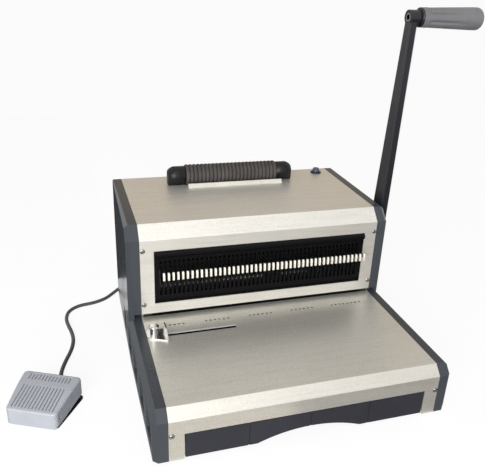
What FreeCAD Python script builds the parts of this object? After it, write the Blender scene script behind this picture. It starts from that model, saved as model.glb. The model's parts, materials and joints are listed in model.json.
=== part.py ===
import FreeCAD, Part
import math
import os
import Sketcher
from FreeCAD import Matrix, Placement, Rotation, Vector

# A manual coil-binding punch with an electric coil inserter on its top and a foot switch.
# Millimetres, +Z up, +X to the operator's right.  The origin lies on the desk under the
# middle of the machine; y = 0 is the front face of the upper housing.

doc = FreeCAD.newDocument("coil_binding_punch")

# ---------------------------------------------------------------- driving dimensions

DIMENSIONS = {
    # housing
    "cover_width": 348, "housing_depth": 205.2, "housing_height": 206.6, "bevel": 17.25,
    "table_reach": 205.7, "table_height": 72.2, "table_bevel": 12.25, "throat_gap": 6.3,
    "sheet_gauge": 1.2, "foot_height": 4, "foot_diameter": 16, "foot_inset": 14,
    "foot_spread": 172.5, "seat_gap": 0.3,
    # moulded side panels
    "panel_thickness": 18, "panel_chamfer": 5.6, "panel_taper": 4.3, "throat_width": 10,
    "throat_depth": 12, "louvre_pitch": 59, "louvre_length": 36, "louvre_height": 34,
    "louvre_depth": 1.8, "louvre_count": 5, "louvre_sill": 18, "louvre_first": 79,
    # side frames
    "frame_gauge": 2, "flange_width": 14, "flange_lift": 12, "flange_margin": 6, "base_gauge": 1.5,
    "base_gap": 14, "brace_middle": 100,
    "brace_depth": 24, "brace_height": 14, "brace_gauge": 1.5,
    # window, pull-pin guard
    "window_width": 311, "window_height": 79.5, "window_sill": 14.8, "guard_margin": 3.2,
    "guard_recess": 3, "guard_gauge": 3, "guard_lip": 3, "guard_lip_height": 8,
    "guard_lip_slope": 4, "guard_lip_round": 2, "guard_slot_width": 3.2, "guard_slot_height": 52,
    "guard_slot_sill": 10.7,
    # punching set
    "tooth_pitch": 6.35, "tooth_count": 47, "punch_diameter": 4, "punch_axis": 14,
    "running_gap": 0.1, "die_gap": 4.8, "die_thickness": 8, "guide_thickness": 12,
    "die_front": 3.5, "die_depth": 30.5, "stop_margin": 4.5, "stop_overhang": 6, "bed_height": 18, "bed_wall": 3,
    "spacer_width": 12,
    # pressure bar and pull pins
    "bar_depth": 12, "bar_height": 32, "bar_length": 324, "bar_lift": 29, "bar_slot_clearance": 0.2,
    "pin_width": 2.6, "pin_strip": 3, "pin_reach": 39, "pin_tab_height": 10.4, "pin_tab_gauge": 2.6,
    "pin_tab_shift": 0.6, "pin_tab_lean": 1.4, "pin_bend": 0.6, "pin_slope": 1.6, "pin_rise": 27,
    "pin_tail": 4.5, "pin_gap": 0.3,
    # lever drive
    "shaft_diameter": 12, "shaft_depth": 46, "shaft_height": 163, "gear_module": 1.5,
    "pinion_teeth": 12, "pinion_width": 14, "pinion_offset": 120, "pressure_angle": 25,
    "backlash": 0.2, "rack_teeth": 8, "rack_tail": 31, "bush_wall": 3, "bush_flange": 3,
    "bush_length": 8, "guide_block_depth": 17.7, "guide_lift": 3, "guide_engagement": 3,
    "guide_block_height": 96, "spring_wire": 1.4, "spring_diameter": 9, "spring_turns": 5,
    "spring_offset": 153.5,
    # lever, grip
    "lever_gauge": 12, "lever_clearance": 3, "lever_foot_width": 29.5, "lever_top_width": 15,
    "lever_length": 308, "lever_lean": 16, "lever_tail": 16, "lever_chamfer": 2, "lever_foot_shift": 1,
    "boss_diameter": 19, "boss_length": 15.5, "grip_length": 98.2, "grip_small": 25.5, "grip_large": 30,
    "grip_flute": 3.2, "grip_flute_start": 14, "grip_flute_end": 20, "grip_flute_count": 8,
    "grip_dome": 12, "grip_bolt": 8, "bolt_head": 9.7, "bolt_head_height": 5,
    "bolt_socket": 6.2, "bolt_socket_depth": 3.2,
    # table furniture
    "guide_slot_width": 6, "guide_slot_end": 52, "guide_slot_depth": 49, "mark_diameter": 3.6,
    "mark_depth": 25.5, "guide_width": 26, "guide_depth": 30, "guide_nose": 2, "guide_gauge": 1.5,
    "guide_fence": 11, "knob_diameter": 13.7, "knob_waist": 9.7, "knob_rim": 3, "knob_height": 15.6,
    "guide_nut_width": 12, "guide_nut_height": 3, "guide_edge": 148,
    # chip drawer
    "drawer_width": 311.4, "drawer_height": 35.7, "drawer_gap": 1, "drawer_sill": 2,
    "drawer_front_gauge": 4, "tray_gap": 4, "drawer_wall": 1.8, "drawer_floor": 16, "drawer_depth": 237,
    "drawer_groove": 1.4, "drawer_groove_depth": 0.9, "drawer_groove_pitch": 78,
    "arch_span": 134, "arch_rise": 12.6, "runner_width": 26, "runner_height": 12, "runner_gauge": 1.5,
    # coil inserter
    "roller_centre": -5.7, "roller_depth": 168, "roller_height": 220.6, "sleeve_length": 148,
    "sleeve_diameter": 32, "sleeve_core": 24, "rib_count": 21, "rib_depth": 2,
    "cap_diameter": 28, "cap_length": 27, "cap_nose": 8.4, "cap_face": 14, "cap_foot": 10,
    "core_shaft": 6, "pulley_diameter": 10, "pulley_width": 10, "pulley_stand": 5,
    "belt_gauge": 2, "belt_width": 7.4, "motor_drop": 41.6, "motor_diameter": 37,
    "motor_length": 62, "motor_shaft": 6, "motor_boss": 12, "motor_boss_length": 4,
    "motor_tail": 18, "motor_tail_length": 5, "motor_stand": 6, "bracket_gauge": 2,
    "bracket_wing": 7, "bracket_ear": 18, "bracket_drop": 20, "bracket_gap": 28, "rest_centre": -1.6,
    "rest_length": 152.4, "rest_depth": 143.4,
    "rest_lip": 5.3, "rest_gauge": 1, "button_x": 150.5, "button_y": 185.5, "button_cap": 13.5,
    "button_flange": 18.5, "button_stand": 6, "button_travel": 1.5,
    "button_barrel": 14, "button_stem": 8,
    # circuit board
    "board_left": 40, "board_front": 100, "board_length": 90, "board_depth": 60, "board_gauge": 1.6,
    "board_stand": 6, "board_leg": 5, "transformer_length": 32, "transformer_depth": 34,
    "transformer_height": 27.4, "relay_length": 18, "relay_depth": 16, "relay_height": 15.4,
    # rear fittings
    "gland_x": 150, "gland_z": 20, "gland_length": 23.8, "gland_thread": 12, "gland_nut": 16,
    "gland_nut_height": 3, "gland_collar": 4, "inlet_x": 120, "inlet_z": 42, "inlet_width": 28,
    "inlet_height": 21, "inlet_flange": 40, "inlet_flange_height": 28, "inlet_flange_gauge": 3,
    "inlet_depth": 22, "inlet_well": 15, "inlet_wall": 1.5, "rear_screw_margin": 20,
    "screw_shank": 3.4, "screw_head": 6.6, "screw_head_height": 2, "screw_length": 4.2,
    "screw_x": 170.4, "screw_low": 14.5, "screw_high": 95.9, "apron_screw": 36,
    "vent_first": -90, "vent_width": 3, "vent_height": 40, "vent_drop": 30, "vent_pitch": 8,
    "vent_count": 9,
    # foot switch
    "pedal_x": -324, "pedal_y": -102.8, "pedal_turn": -25.9, "pedal_front": 64.5,
    "pedal_rear": 78.4, "pedal_depth": 66.6, "pedal_low": 23.2, "pedal_high": 32.5,
    "pedal_wall": 2.4, "pedal_base_height": 5, "pedal_pivot_y": 8, "pedal_pivot_z": 13,
    "pedal_pin": 4, "pedal_rib_margin": 5, "pedal_rib_count": 13, "pedal_rib_pitch": 4.4, "pedal_rib": 1.5,
    "pedal_rib_depth": 0.8, "pedal_gland_x": -4, "pedal_gland_reach": 8.4, "pedal_gland": 9,
    "pedal_crown": 30.4, "pedal_plinth": 2.6, "pedal_apron": 0.8, "pedal_skirt_front": 3.2,
    "pedal_skirt_rear": 10,
    "pedal_lug": 3, "pedal_switch_y": 41, "pedal_switch_width": 20, "pedal_switch_depth": 10,
    "pedal_finger": 20, "pedal_finger_diameter": 5, "pedal_spring_wire": 1.2, "pedal_spring_slack": 0.4,
    "pedal_spring_pitch": 1.6, "pedal_spring_leg": 16, "pedal_spring_x": 14,
    # foot-switch cord
    "cord_diameter": 5.5, "coil_diameter": 66, "coil_rows": 3, "coil_layers": 2,
    "coil_stand": 77.8,
}

sheet = doc.addObject("Spreadsheet::Sheet", "Sizes")
for row, (alias, number) in enumerate(DIMENSIONS.items(), start=1):
    sheet.set("A%d" % row, alias)
    sheet.set("B%d" % row, str(number))
    sheet.setAlias("B%d" % row, alias)
doc.recompute()


class Size:
    """A number together with the sheet formula that gives it."""

    def __init__(self, value, formula):
        self.value = float(value)
        self.formula = formula

    def __float__(self):
        return self.value

    def __neg__(self):
        return Size(-self.value, "(-%s)" % self.formula)

    def __add__(self, other):
        return Size(self.value + float(other), "(%s + %s)" % (self.formula, formula_of(other)))

    def __radd__(self, other):
        return Size(float(other) + self.value, "(%s + %s)" % (formula_of(other), self.formula))

    def __sub__(self, other):
        return Size(self.value - float(other), "(%s - %s)" % (self.formula, formula_of(other)))

    def __rsub__(self, other):
        return Size(float(other) - self.value, "(%s - %s)" % (formula_of(other), self.formula))

    def __mul__(self, other):
        return Size(self.value * float(other), "(%s * %s)" % (self.formula, formula_of(other)))

    def __rmul__(self, other):
        return Size(float(other) * self.value, "(%s * %s)" % (formula_of(other), self.formula))

    def __truediv__(self, other):
        return Size(self.value / float(other), "(%s / %s)" % (self.formula, formula_of(other)))


def formula_of(number):
    """The sheet formula of a Size, or a plain number written out."""
    if isinstance(number, Size):
        return number.formula
    return "(%.9g)" % number if number < 0 else "%.9g" % number


class SizeSheet:
    """Reads the sheet's cells by their aliases."""

    def __getattr__(self, alias):
        return Size(sheet.get(alias), "Sizes." + alias)


S = SizeSheet()
MITRE = math.tan(math.pi / 8)  # how far a 45 degree fold moves its inner corner, per gauge
EXPORTS = []


def bind(thing, path, size):
    """Give a property its value or, when it comes from the sheet, its formula."""
    if isinstance(size, Size):
        thing.setExpression(path, size.formula)
    else:
        setattr(thing, path, size)


def place(thing, x, y, z, rotation=None):
    """Put a piece at x, y, z, bound to the sheet."""
    thing.Placement = Placement(Vector(float(x), float(y), float(z)), rotation or Rotation())
    for letter, size in zip("xyz", (x, y, z)):
        if isinstance(size, Size):
            thing.setExpression("Placement.Base." + letter, size.formula)


def export(thing):
    """Mark a piece as one of the exported sub-parts."""
    EXPORTS.append(thing)
    return thing


# ---------------------------------------------------------------- primitives and booleans

ALONG_X = Rotation(Vector(0, 1, 0), 90)
ALONG_Y = Rotation(Vector(1, 0, 0), -90)
ALONG_Z = Rotation()


def block(label, x0, x1, y0, y1, z0, z1):
    """A Part box between two corners."""
    box = doc.addObject("Part::Box", label)
    for path, size in (("Length", x1 - x0), ("Width", y1 - y0), ("Height", z1 - z0)):
        bind(box, path, size)
    place(box, x0, y0, z0)
    return box


def rod(label, radius, length, x, y, z, rotation=ALONG_Z):
    """A Part cylinder from a point along an axis."""
    cylinder = doc.addObject("Part::Cylinder", label)
    bind(cylinder, "Radius", radius)
    bind(cylinder, "Height", length)
    place(cylinder, x, y, z, rotation)
    return cylinder


def taper(label, radius0, radius1, length, x, y, z, rotation=ALONG_Z):
    """A Part cone from a point along an axis."""
    cone = doc.addObject("Part::Cone", label)
    bind(cone, "Radius1", radius0)
    bind(cone, "Radius2", radius1)
    bind(cone, "Height", length)
    place(cone, x, y, z, rotation)
    return cone


def fused(label, *pieces):
    """One solid made of several."""
    union = doc.addObject("Part::MultiFuse", label)
    union.Shapes = list(pieces)
    return union


def cut(label, base, *tools):
    """A solid with others taken out of it."""
    tool = tools[0] if len(tools) == 1 else fused(label + "_tools", *tools)
    result = doc.addObject("Part::Cut", label)
    result.Base = base
    result.Tool = tool
    return result


def group(label, *pieces):
    """Several separate solids in one node."""
    compound = doc.addObject("Part::Compound", label)
    compound.Links = list(pieces)
    return compound


def mirror_x(label, piece):
    """The other-hand copy of a piece, across the middle plane."""
    mirrored = doc.addObject("Part::Mirroring", label)
    mirrored.Source = piece
    mirrored.Normal = Vector(1, 0, 0)
    return mirrored


def feature(label, shape):
    """A piece whose shape is computed directly."""
    piece = doc.addObject("Part::Feature", label)
    piece.Shape = shape
    return piece


# ---------------------------------------------------------------- sketches and features

def new_body(label):
    """An empty PartDesign body."""
    body = doc.addObject("PartDesign::Body", label)
    body.Label = label
    return body


def origin_part(body, role):
    """One of the body's own origin planes or axes."""
    return next(part for part in body.Origin.OriginFeatures if part.Role == role)


def sketch_on(body, role, offset=0.0):
    """A sketch on one of the body's origin planes, moved along the plane's normal."""
    sketch = body.newObject("Sketcher::SketchObject", body.Label + "_sketch")
    sketch.AttachmentSupport = [(origin_part(body, role), "")]
    sketch.MapMode = "FlatFace"
    sketch.AttachmentOffset = Placement(Vector(0, 0, float(offset)), Rotation())
    if isinstance(offset, Size):
        sketch.setExpression("AttachmentOffset.Base.z", offset.formula)
    return sketch


def hold(sketch, geometry, vertex, x, y):
    """Hold a vertex at x, y from the sketch's origin."""
    for kind, axis, size in (("DistanceX", -2, x), ("DistanceY", -1, y)):
        if abs(float(size)) < 1e-9:
            sketch.addConstraint(Sketcher.Constraint("PointOnObject", geometry, vertex, axis))
            continue
        number = sketch.addConstraint(
            Sketcher.Constraint(kind, -1, 1, geometry, vertex, float(size)))
        if isinstance(size, Size):
            sketch.setExpression("Constraints[%d]" % number, size.formula)


def radius_of(sketch, geometry, size):
    """Hold an arc's or circle's radius."""
    number = sketch.addConstraint(Sketcher.Constraint("Radius", geometry, float(size)))
    if isinstance(size, Size):
        sketch.setExpression("Constraints[%d]" % number, size.formula)


def corner_points(corners, index):
    """Where the lines beside a corner end, and the centre of its rounding."""
    here = Vector(float(corners[index][0]), float(corners[index][1]), 0)
    if len(corners[index]) < 3:
        return here, here, None
    before = corners[index - 1]
    after = corners[(index + 1) % len(corners)]
    back = (Vector(float(before[0]), float(before[1]), 0) - here).normalize()
    ahead = (Vector(float(after[0]), float(after[1]), 0) - here).normalize()
    half = math.acos(max(-1, min(1, back.dot(ahead)))) / 2
    reach = float(corners[index][2]) / math.tan(half)
    centre = here + (back + ahead).normalize() * (float(corners[index][2]) / math.sin(half))
    return here + back * reach, here + ahead * reach, centre


def outline(sketch, corners):
    """A closed outline of straight lines; a corner (x, y, r) is rounded with radius r."""
    ends = [corner_points(corners, index) for index in range(len(corners))]
    lines = []
    for index in range(len(corners)):
        start = ends[index][1]
        stop = ends[(index + 1) % len(corners)][0]
        lines.append(sketch.addGeometry(Part.LineSegment(start, stop)))
    for index, corner in enumerate(corners):
        incoming, outgoing = lines[index - 1], lines[index]
        if len(corner) < 3:
            sketch.addConstraint(Sketcher.Constraint("Coincident", incoming, 2, outgoing, 1))
            hold(sketch, outgoing, 1, corner[0], corner[1])
            continue
        round_corner(sketch, corner, ends[index], incoming, outgoing)
    return sketch


def round_corner(sketch, corner, ends, incoming, outgoing):
    """The arc of a rounded corner, tangent to both lines, with the sharp corner held."""
    entry, leave, centre = ends
    circle = Part.Circle(centre, Vector(0, 0, 1), float(corner[2]))
    entry_angle = math.atan2(entry.y - centre.y, entry.x - centre.x)
    leave_angle = math.atan2(leave.y - centre.y, leave.x - centre.x)
    sweep = (leave_angle - entry_angle) % (2 * math.pi)
    if sweep < math.pi:
        joins = (1, 2)
        curve = Part.ArcOfCircle(circle, entry_angle, entry_angle + sweep)
    else:
        joins = (2, 1)
        curve = Part.ArcOfCircle(circle, leave_angle, leave_angle + 2 * math.pi - sweep)
    arc = sketch.addGeometry(curve)
    sketch.addConstraint(Sketcher.Constraint("Tangent", incoming, 2, arc, joins[0]))
    sketch.addConstraint(Sketcher.Constraint("Tangent", arc, joins[1], outgoing, 1))
    radius_of(sketch, arc, corner[2])
    point = sketch.addGeometry(Part.Point(Vector(float(corner[0]), float(corner[1]), 0)), True)
    hold(sketch, point, 1, corner[0], corner[1])
    sketch.addConstraint(Sketcher.Constraint("PointOnObject", point, 1, incoming))
    sketch.addConstraint(Sketcher.Constraint("PointOnObject", point, 1, outgoing))


def rectangle(sketch, x0, x1, y0, y1, *radius):
    """A rectangle, with rounded corners if a radius is given."""
    return outline(sketch, [(x0, y0, *radius), (x1, y0, *radius), (x1, y1, *radius), (x0, y1, *radius)])


def disc(sketch, x, y, radius):
    """A full circle."""
    circle = sketch.addGeometry(
        Part.Circle(Vector(float(x), float(y), 0), Vector(0, 0, 1), float(radius)))
    hold(sketch, circle, 3, x, y)
    radius_of(sketch, circle, radius)
    return sketch


def pad(body, sketch, length, backwards=False):
    """Pad a sketch along its plane's normal, or against it."""
    result = body.newObject("PartDesign::Pad", body.Label + "_pad")
    result.Profile = sketch
    bind(result, "Length", length)
    result.Reversed = backwards
    return result


def pocket(body, sketch, depth, along_normal=False):
    """Cut a sketch into the body, against its plane's normal unless told otherwise."""
    result = body.newObject("PartDesign::Pocket", body.Label + "_pocket")
    result.Profile = sketch
    bind(result, "Length", depth)
    result.Reversed = along_normal
    return result


def row_pattern(body, features, axis, spacing, count, backwards=False):
    """Repeat features along an origin axis, or against it."""
    pattern = body.newObject("PartDesign::LinearPattern", body.Label + "_row")
    pattern.Originals = list(features)
    pattern.Direction = (origin_part(body, axis), [""])
    pattern.Reversed = backwards
    bind(pattern, "Length", spacing * (count - 1))
    bind(pattern, "Occurrences", count)
    body.Tip = pattern
    return pattern


def ring_pattern(body, features, axis, count):
    """Repeat features round an origin axis."""
    pattern = body.newObject("PartDesign::PolarPattern", body.Label + "_ring")
    pattern.Originals = list(features)
    pattern.Axis = (origin_part(body, axis), [""])
    pattern.Angle = 360
    bind(pattern, "Occurrences", count)
    body.Tip = pattern
    return pattern


def edges_where(shape, test):
    """Names of the edges whose middle point and direction pass a test."""
    names = []
    for number, edge in enumerate(shape.Edges, start=1):
        middle = edge.valueAt((edge.FirstParameter + edge.LastParameter) / 2)
        ends = edge.Vertexes[-1].Point - edge.Vertexes[0].Point
        if test(middle, ends):
            names.append("Edge%d" % number)
    return names


def dress(body, kind, size, test):
    """Chamfer or fillet the body's edges that pass a test."""
    doc.recompute()
    base = body.Tip
    result = body.newObject("PartDesign::" + kind, body.Label + "_" + kind.lower())
    result.Base = (base, edges_where(base.Shape, test))
    bind(result, "Size" if kind == "Chamfer" else "Radius", size)
    return result


# ---------------------------------------------------------------- shared places

half = S.cover_width / 2
rear = S.housing_depth
apron = -S.table_reach
top = S.housing_height
cover_sill = S.table_height + S.throat_gap
frame_inner = half - S.frame_gauge
inner_skin = S.sheet_gauge
first_tooth = S.tooth_pitch * (S.tooth_count - 1) / -2
die_top = S.table_height
die_rear = S.die_front + S.die_depth
guide_sill = die_top + S.die_gap
guide_top = guide_sill + S.guide_thickness
bar_sill = guide_top + S.bar_lift
bar_top = bar_sill + S.bar_height
bar_front = S.punch_axis - S.bar_depth / 2
bar_rear = S.punch_axis + S.bar_depth / 2
pitch_radius = S.gear_module * S.pinion_teeth / 2
pitch_line = S.shaft_depth - pitch_radius
guide_front = S.guard_recess + S.guard_gauge + S.seat_gap
guide_rear = guide_front + S.guide_block_depth
pin_height = bar_sill + S.pin_rise
window_foot = cover_sill + S.window_sill
window_head = window_foot + S.window_height


def housing_outline(skin, foot):
    """Side view of the covers, drawn inside a skin of the given gauge, from a foot height up."""
    fold = skin * MITRE
    return [
        (apron + skin, foot),
        (rear - skin, foot),
        (rear - skin, top - skin),
        (S.bevel + fold, top - skin),
        (skin, top - S.bevel - fold),
        (skin, S.table_height - skin),
        (apron + S.table_bevel + fold, S.table_height - skin),
        (apron + skin, S.table_height - S.table_bevel - fold),
    ]


# ---------------------------------------------------------------- housing

def panel_blank():
    """Moulded end panel: stepped like the covers, chamfered outside, tapering to the back."""
    body = new_body("panel_blank")
    sketch = outline(sketch_on(body, "YZ_Plane", half), housing_outline(0, S.foot_height))
    pad(body, sketch, S.panel_thickness)
    outer, foot, back = float(half + S.panel_thickness), float(S.foot_height), float(rear)
    dress(body, "Chamfer", S.panel_chamfer,
          lambda middle, run: abs(middle.x - outer) < 0.01 and middle.z > foot + 0.01
          and middle.y < back - 0.01)
    edge = half + S.panel_thickness
    sketch = sketch_on(body, "XY_Plane", S.foot_height)
    outline(sketch, [(edge, 0), (edge - S.panel_taper, rear), (edge + 1, rear), (edge + 1, 0)])
    pocket(body, sketch, top - S.foot_height, along_normal=True)
    sketch = rectangle(sketch_on(body, "YZ_Plane", half), 0, S.throat_depth, S.table_height, cover_sill)
    pocket(body, sketch, S.throat_width, along_normal=True)
    louvre = louvre_scoop(body)
    row_pattern(body, [louvre], "Y_Axis", S.louvre_pitch, S.louvre_count, backwards=True)
    return body


def side_panels():
    """The end panels; only the right one has a hole, for the lever's shaft."""
    blank = panel_blank()
    export(mirror_x("side_panel_left", blank))
    passage = rod("panel_passage", S.shaft_diameter / 2 + 2, S.panel_thickness, half, S.shaft_depth,
                  S.shaft_height, ALONG_X)
    export(cut("side_panel_right", blank, passage))


def louvre_scoop(body):
    """One wedge-shaped ventilation scoop in the lower part of an end panel."""
    outer = half + S.panel_thickness
    sketch = sketch_on(body, "XY_Plane", S.louvre_sill)
    deep = outer - S.louvre_depth - S.panel_taper * S.louvre_first.value / S.housing_depth.value
    outline(sketch, [
        (outer + 1, S.louvre_first), (outer, S.louvre_first), (deep, S.louvre_first),
        (outer, S.louvre_first - S.louvre_length), (outer + 1, S.louvre_first - S.louvre_length)])
    return pocket(body, sketch, S.louvre_height, along_normal=True)


def side_frame(side):
    """Folded steel side frame: a plate with flanges turned inwards to carry covers and feet."""
    label = "side_frame_right" if side > 0 else "side_frame_left"
    body = new_body(label)
    outer = frame_inner if side > 0 else -half
    inner = frame_inner if side > 0 else -frame_inner
    pad(body, outline(sketch_on(body, "YZ_Plane", outer), housing_outline(inner_skin, S.foot_height)),
        S.frame_gauge)
    flanges = [
        (inner_skin, inner_skin + S.frame_gauge, cover_sill + S.flange_lift,
         top - S.bevel - S.flange_margin),
        (apron + inner_skin, apron + inner_skin + S.frame_gauge, S.foot_height + S.flange_margin,
         S.table_height - S.table_bevel - S.flange_margin),
        (apron + inner_skin + S.frame_gauge, rear - inner_skin - S.frame_gauge, S.foot_height,
         S.foot_height + S.frame_gauge),
        (rear - inner_skin - S.frame_gauge, rear - inner_skin, S.foot_height,
         top - S.flange_margin)]
    for y0, y1, z0, z1 in flanges:
        sketch = rectangle(sketch_on(body, "YZ_Plane", inner), y0, y1, z0, z1)
        pad(body, sketch, S.flange_width - S.frame_gauge, backwards=side > 0)
    sketch = disc(sketch_on(body, "YZ_Plane", inner), S.shaft_depth, S.shaft_height,
                  S.shaft_diameter / 2 + S.bush_wall)
    rectangle(sketch, 0, S.die_front, S.table_height - S.sheet_gauge * 2, S.table_height + S.seat_gap)
    rectangle(sketch, 0, S.die_front - 1, S.table_height + S.seat_gap + 1, cover_sill)
    pocket(body, sketch, S.frame_gauge + 1, along_normal=side > 0)
    sketch = sketch_on(body, "XZ_Plane", -inner_skin)
    for height in (cover_sill + S.screw_low, cover_sill + S.screw_high):
        disc(sketch, S.screw_x * side, height, S.screw_shank / 2 + S.running_gap)
    pocket(body, sketch, S.screw_length)
    sketch = sketch_on(body, "XZ_Plane", -(apron + inner_skin))
    disc(sketch, S.screw_x * side, S.foot_height + S.apron_screw, S.screw_shank / 2 + S.running_gap)
    pocket(body, sketch, S.screw_length)
    sketch = sketch_on(body, "XZ_Plane", -(rear - inner_skin - S.frame_gauge))
    for height in REAR_SCREW_HEIGHTS:
        disc(sketch, (half - S.flange_width / 2) * side, height, S.screw_shank / 2 + S.running_gap)
    pocket(body, sketch, S.frame_gauge)
    return export(body)


REAR_SCREW_HEIGHTS = (S.foot_height + S.rear_screw_margin, top - S.rear_screw_margin)


def upper_cover():
    """Folded steel housing cover: front with the pin window, 45 degree bevel and top plate."""
    body = new_body("upper_cover")
    gauge = S.sheet_gauge
    fold = gauge * MITRE
    sketch = sketch_on(body, "YZ_Plane", -half)
    outline(sketch, [
        (0, cover_sill), (gauge, cover_sill), (gauge, top - S.bevel - fold),
        (S.bevel + fold, top - gauge), (rear, top - gauge), (rear, top),
        (S.bevel, top, gauge), (0, top - S.bevel, gauge)])
    pad(body, sketch, S.cover_width)
    sketch = sketch_on(body, "XZ_Plane")
    rectangle(sketch, S.window_width / -2, S.window_width / 2, window_foot, window_head)
    for side in (-1, 1):
        for height in (cover_sill + S.screw_low, cover_sill + S.screw_high):
            disc(sketch, S.screw_x * side, height, S.screw_shank / 2 + S.running_gap)
    pocket(body, sketch, gauge * 2)
    sketch = sketch_on(body, "XY_Plane", top)
    rectangle(sketch, roller_left() - ROLLER_ROOM, roller_right() + ROLLER_ROOM,
              S.roller_depth - ROLLER_DIP, S.roller_depth + ROLLER_DIP)
    rectangle(sketch, pulley_left() - ROLLER_ROOM, pulley_left() + S.pulley_width + ROLLER_ROOM,
              S.roller_depth - belt_room(), S.roller_depth + belt_room())
    disc(sketch, S.button_x, S.button_y, S.button_cap / 2 + S.seat_gap * 2)
    pocket(body, sketch, gauge * 2)
    return export(body)


ROLLER_ROOM = 1  # space round the roller and its belt in the top plate
ROLLER_DIP = 9  # half width of the slot the roller dips into


def belt_room():
    """Half width of the openings that the belt runs through."""
    return S.pulley_diameter / 2 + S.belt_gauge + S.seat_gap


def roller_left():
    """Left end of the rubber sleeve."""
    return S.roller_centre - S.sleeve_length / 2


def roller_right():
    """Right end of the rubber sleeve."""
    return S.roller_centre + S.sleeve_length / 2


def table_cover():
    """Folded steel paper table with its front bevel, the apron and the drawer's cut-out."""
    body = new_body("table_cover")
    gauge = S.sheet_gauge
    fold = gauge * MITRE
    sketch = sketch_on(body, "YZ_Plane", -half)
    outline(sketch, [
        (S.die_front - S.seat_gap, S.table_height),
        (apron + S.table_bevel, S.table_height, gauge),
        (apron, S.table_height - S.table_bevel, gauge),
        (apron, S.foot_height), (apron + gauge, S.foot_height),
        (apron + gauge, S.table_height - S.table_bevel - fold),
        (apron + S.table_bevel + fold, S.table_height - gauge),
        (S.die_front - S.seat_gap, S.table_height - gauge)])
    pad(body, sketch, S.cover_width)
    sketch = sketch_on(body, "XZ_Plane", -apron)
    rectangle(sketch, S.drawer_width / -2, S.drawer_width / 2, 0, drawer_top() + S.drawer_gap)
    for side in (-1, 1):
        disc(sketch, S.screw_x * side, S.foot_height + S.apron_screw, S.screw_shank / 2 + S.running_gap)
    pocket(body, sketch, gauge * 2)
    sketch = sketch_on(body, "XY_Plane", S.table_height)
    rectangle(sketch, -frame_inner, -S.guide_slot_end, -S.guide_slot_depth - S.guide_slot_width / 2,
              -S.guide_slot_depth + S.guide_slot_width / 2)
    for first, count in MARK_COUNTS:
        for tooth in range(int(first), int(first + count)):
            disc(sketch, first_tooth + S.tooth_pitch * tooth, -S.mark_depth, S.mark_diameter / 2)
    pocket(body, sketch, gauge * 2)
    return export(body)


# Gauge holes on the table: before each group the count of teeth, then its count of holes.
MARK_COUNTS = ((0, 5), (9, 6), (19, 6), (29, 6), (39, 8))


def drawer_top():
    """Top of the chip drawer's front."""
    return S.foot_height + S.drawer_sill + S.drawer_height - S.drawer_gap * 2


def rear_cover():
    """Flat steel back with vents for the motor and cut-outs for inlet and cord."""
    body = new_body("rear_cover")
    sketch = sketch_on(body, "XZ_Plane", -(rear - S.sheet_gauge))
    rectangle(sketch, -half, half, S.foot_height, top - S.sheet_gauge)
    pad(body, sketch, S.sheet_gauge, backwards=True)
    sketch = sketch_on(body, "XZ_Plane", -(rear - S.sheet_gauge))
    disc(sketch, -S.gland_x, S.gland_z, S.gland_thread / 2)
    rectangle(sketch, S.inlet_x - S.inlet_width / 2, S.inlet_x + S.inlet_width / 2,
              S.inlet_z - S.inlet_height / 2, S.inlet_z + S.inlet_height / 2)
    for side in (-1, 1):
        for height in REAR_SCREW_HEIGHTS:
            disc(sketch, (half - S.flange_width / 2) * side, height,
                 S.screw_shank / 2 + S.running_gap)
    pocket(body, sketch, S.sheet_gauge * 2)
    sketch = sketch_on(body, "XZ_Plane", -(rear - S.sheet_gauge))
    rectangle(sketch, S.vent_first, S.vent_first + S.vent_width, top - S.vent_drop - S.vent_height,
              top - S.vent_drop)
    vent = pocket(body, sketch, S.sheet_gauge * 2)
    row_pattern(body, [vent], "X_Axis", S.vent_pitch, S.vent_count)
    return export(body)


def base_plate():
    """Bottom plate behind the drawer, lying on the frames' flanges."""
    level = S.foot_height + S.frame_gauge
    return export(block("base_plate", -frame_inner, frame_inner, die_rear + S.base_gap,
                        rear - inner_skin - S.frame_gauge - S.seat_gap, level, level + S.base_gauge))


def table_brace():
    """Channel under the middle of the paper table, from frame to frame."""
    level = S.table_height - S.sheet_gauge
    front = -S.brace_middle - S.brace_depth / 2
    back = -S.brace_middle + S.brace_depth / 2
    gauge = S.brace_gauge
    outer = block("table_brace_outer", -frame_inner, frame_inner, front, back,
                  level - S.brace_height, level)
    inner = block("table_brace_inner", -frame_inner, frame_inner, front + gauge, back - gauge,
                  level - S.brace_height, level - gauge)
    return export(cut("table_brace", outer, inner))


def feet():
    """Four rubber feet under the frames' flanges and the end panels."""
    pads = []
    for side, y in ((-1, apron + S.foot_inset), (1, apron + S.foot_inset),
                    (-1, rear - S.foot_inset), (1, rear - S.foot_inset)):
        pads.append(rod("foot", S.foot_diameter / 2, S.foot_height, S.foot_spread * side, y, 0))
    return export(group("feet", *pads))


def cover_screws():
    """Pan-head screws of the front covers and the back."""
    spots = []
    for side in (-1, 1):
        x = S.screw_x * side
        spots.append((x, 0, cover_sill + S.screw_low, 1))
        spots.append((x, 0, cover_sill + S.screw_high, 1))
        spots.append((x, apron, S.foot_height + S.apron_screw, 1))
        for height in REAR_SCREW_HEIGHTS:
            spots.append(((half - S.flange_width / 2) * side, rear, height, -1))
    return export(feature("cover_screws", Part.makeCompound([screw(*spot) for spot in spots])))


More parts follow.
